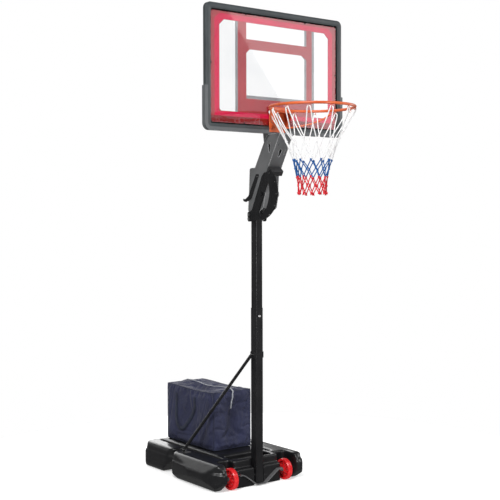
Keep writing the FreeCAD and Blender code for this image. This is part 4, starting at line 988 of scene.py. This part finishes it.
def build_slider():
    """The slider's body, its ring and its pull tab, on the CAD pull's place."""
    low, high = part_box("zip_pull")
    y, z = high.y - 0.034, low.z + 0.0016
    sections = ((0, 0.0030, 0.0012), (0.15, 0.0052, 0.0018), (0.5, 0.0046, 0.0022), (0.8, 0.0052, 0.0019),
                (1, 0.0034, 0.0012))
    body_rings = []
    for share, wide, tall in sections:
        body_rings.append([Vector((wide * math.cos(a), y + 0.016 * (share - 0.5), z + tall * math.sin(a)))
                           for a in circle(16)])
    loop = small_ring(Vector((0, y + 0.008, z + 0.0018)), Vector((1, 0, 0)), 0.0028, 0.0007)
    tab = []
    for wide, place in ((0.0030, 0.010), (0.0038, 0.013), (0.0038, 0.030), (0.0028, 0.0335)):
        tab.append([Vector((wide * a, y + place, z + 0.0006 + 0.0008 * b))
                    for a, b in ((-1, -1), (1, -1), (1, 1), (-1, 1))])
    parts = [loft(body_rings, caps=True), loop, loft(tab, caps=True)]
    piece("zip_slider", *merged(parts), ZINC, "zip_pull", "zinc", "zip_pull")


STITCH_GAP = 0.0002


def build_piping(tree):
    """A thin corded seam along the bag's edges, and stitches a little inside them."""
    low = BAG_LOW + Vector((0.0065, 0.0065, 0.004))
    high = BAG_HIGH - Vector((0.0065, 0.0065, 0.0045))
    runs = []
    for x in (low.x, high.x):
        for y in (low.y, high.y):
            runs.append([Vector((x, y, low.z + (high.z - low.z) * t / 12)) for t in range(13)])
        for z in (low.z, high.z):
            runs.append([Vector((x, low.y + (high.y - low.y) * t / 16, z)) for t in range(17)])
    for y in (low.y, high.y):
        for z in (low.z, high.z):
            runs.append([Vector((low.x + (high.x - low.x) * t / 10, y, z)) for t in range(11)])
    parts = []
    middle = (low + high) / 2
    for run in runs:
        line = []
        for p in run:
            near = tree.find_nearest(p)[0]
            away = near - middle
            sides = [k for k in range(3) if min(abs(p[k] - low[k]), abs(p[k] - high[k])) < 1e-6]
            out = Vector([math.copysign(1, away[k]) if k in sides else 0 for k in range(3)]).normalized()
            line.append(near + out * 0.0006)
        parts.append(rope(line, 0.0021, 0.012, 0.004))
    piece("bag_piping", *merged(parts), WEBBING, "weight_bag", "bag_webbing", smooth=70)
    rows = []
    for side in (-1, 1):
        for z in (0.190, 0.516):
            run = [on_side(tree, side, 0.216 + 0.0252 * i, z, STITCH_GAP) for i in range(21)]
            rows += stitch_row(run, Vector((side, 0, 0)))
        for y in (0.216, 0.721):
            run = [on_side(tree, side, y, 0.190 + 0.0233 * i, STITCH_GAP) for i in range(15)]
            rows += stitch_row(run, Vector((side, 0, 0)))
        run = [on_front(tree, side * 0.132, 0.190 + 0.0233 * i, STITCH_GAP) for i in range(15)]
        rows += stitch_row(run, Vector((0, -1, 0)))
    piece("bag_stitches", *merged(rows), THREAD, "weight_bag", "bag_webbing", smooth=60)


# ---------------------------------------------------------------- camera, floor and light

FLOOR_RADIUS = 2.2
FLOOR_GLOW = 0.44
ROOM_STRENGTH = 0.16


def set_camera():
    """The camera fitted to the photograph, as a lens on a 36 mm sensor."""
    yaw, pitch, roll = 0.648, 0.0309, -0.002
    forward = Vector((math.sin(yaw) * math.cos(pitch), math.cos(yaw) * math.cos(pitch), -math.sin(pitch)))
    right = Vector((math.cos(yaw), -math.sin(yaw), 0))
    up = right.cross(forward)
    right, up = right * math.cos(roll) + up * math.sin(roll), up * math.cos(roll) - right * math.sin(roll)
    turn = Matrix((right, up, -forward)).transposed().to_4x4()
    data = bpy.data.cameras.new("camera")
    data.lens = 73.43
    data.sensor_width = 36
    data.clip_end = 200
    camera = new_object("camera", data)
    camera.matrix_world = Matrix.Translation((-3.7024, -4.8671, 1.5948)) @ turn
    bpy.context.scene.camera = camera


def set_floor():
    """A white sheet that ends where the white backdrop begins."""
    rim = [(FLOOR_RADIUS * math.cos(a), FLOOR_RADIUS * math.sin(a), 0) for a in circle(64)]
    mesh = bpy.data.meshes.new("floor")
    mesh.from_pydata(rim, [], [tuple(range(len(rim)))])
    floor = new_object("floor", mesh)
    paper = material("floor_white", (0.93, 0.93, 0.93), (0.91, 0.91, 0.91), rough=0.6, bump=0.02, blotch=0.5,
                     grain=40.0, specular=0.1)
    shader = paper.node_tree.nodes["Principled BSDF"]
    socket(shader, "Emission Color", (1, 1, 1, 1))
    socket(shader, "Emission Strength", FLOOR_GLOW)
    mesh.materials.append(paper)
    floor.visible_glossy = False


def area_light(name, place, target, width, height, power, spin=0.0):
    """A rectangular light that the camera doesn't see, aimed at a point."""
    data = bpy.data.lights.new(name, "AREA")
    data.shape = "RECTANGLE"
    data.size = width
    data.size_y = height
    data.energy = power
    light = new_object(name, data)
    aim = (Vector(target) - Vector(place)).to_track_quat("-Z", "Y")
    light.matrix_world = Matrix.Translation(place) @ aim.to_matrix().to_4x4() @ Matrix.Rotation(spin, 4, "Z")
    light.visible_camera = False
    light.visible_transmission = False


def set_light():
    """A white backdrop for the camera, a dim room for everything else, and five soft lights."""
    world = bpy.data.worlds.new("studio")
    bpy.context.scene.world = world
    world.use_nodes = True
    tree = world.node_tree
    room = tree.nodes["Background"]
    socket(room, "Color", (1, 1, 1, 1))
    socket(room, "Strength", ROOM_STRENGTH)
    backdrop = add(tree, "ShaderNodeBackground", Color=(1, 1, 1, 1), Strength=1.0)
    path = tree.nodes.new("ShaderNodeLightPath")
    seen = arithmetic(tree, "MAXIMUM", path.outputs["Is Camera Ray"], path.outputs["Is Transmission Ray"])
    mix = tree.nodes.new("ShaderNodeMixShader")
    tree.links.new(seen, mix.inputs[0])
    tree.links.new(room.outputs[0], mix.inputs[1])
    tree.links.new(backdrop.outputs[0], mix.inputs[2])
    tree.links.new(mix.outputs[0], tree.nodes["World Output"].inputs["Surface"])
    area_light("key", (-3.4, -2.8, 4.6), (0, 0, 1.1), 1.6, 1.6, 270)
    area_light("panel_card", (2.865, -3.0, 3.537), (2.865, 0, 3.537), 2.0, 2.0, 30, math.radians(-51.7))
    area_light("side", (3.6, -1.2, 2.2), (0, 0, 1.2), 0.8, 2.4, 40)
    area_light("back", (1.2, 5.2, 2.6), (0, 0, 0.4), 5.0, 3.6, 210)
    area_light("low_front", (0.2, -4.6, 1.7), (0, 0, 1.3), 1.2, 1.6, 55)
    bpy.context.scene.view_settings.view_transform = "Standard"


set_camera()
set_floor()
set_light()
build_tank()
build_wheel("wheel_left", -1)
build_wheel("wheel_right", 1)
build_board()
build_keyhole_shade_plugs()
build_screws()
build_net()
bag_surface = surface_tree(build_bag())
build_handles(bag_surface)
build_zip(bag_surface)
build_piping(bag_surface)
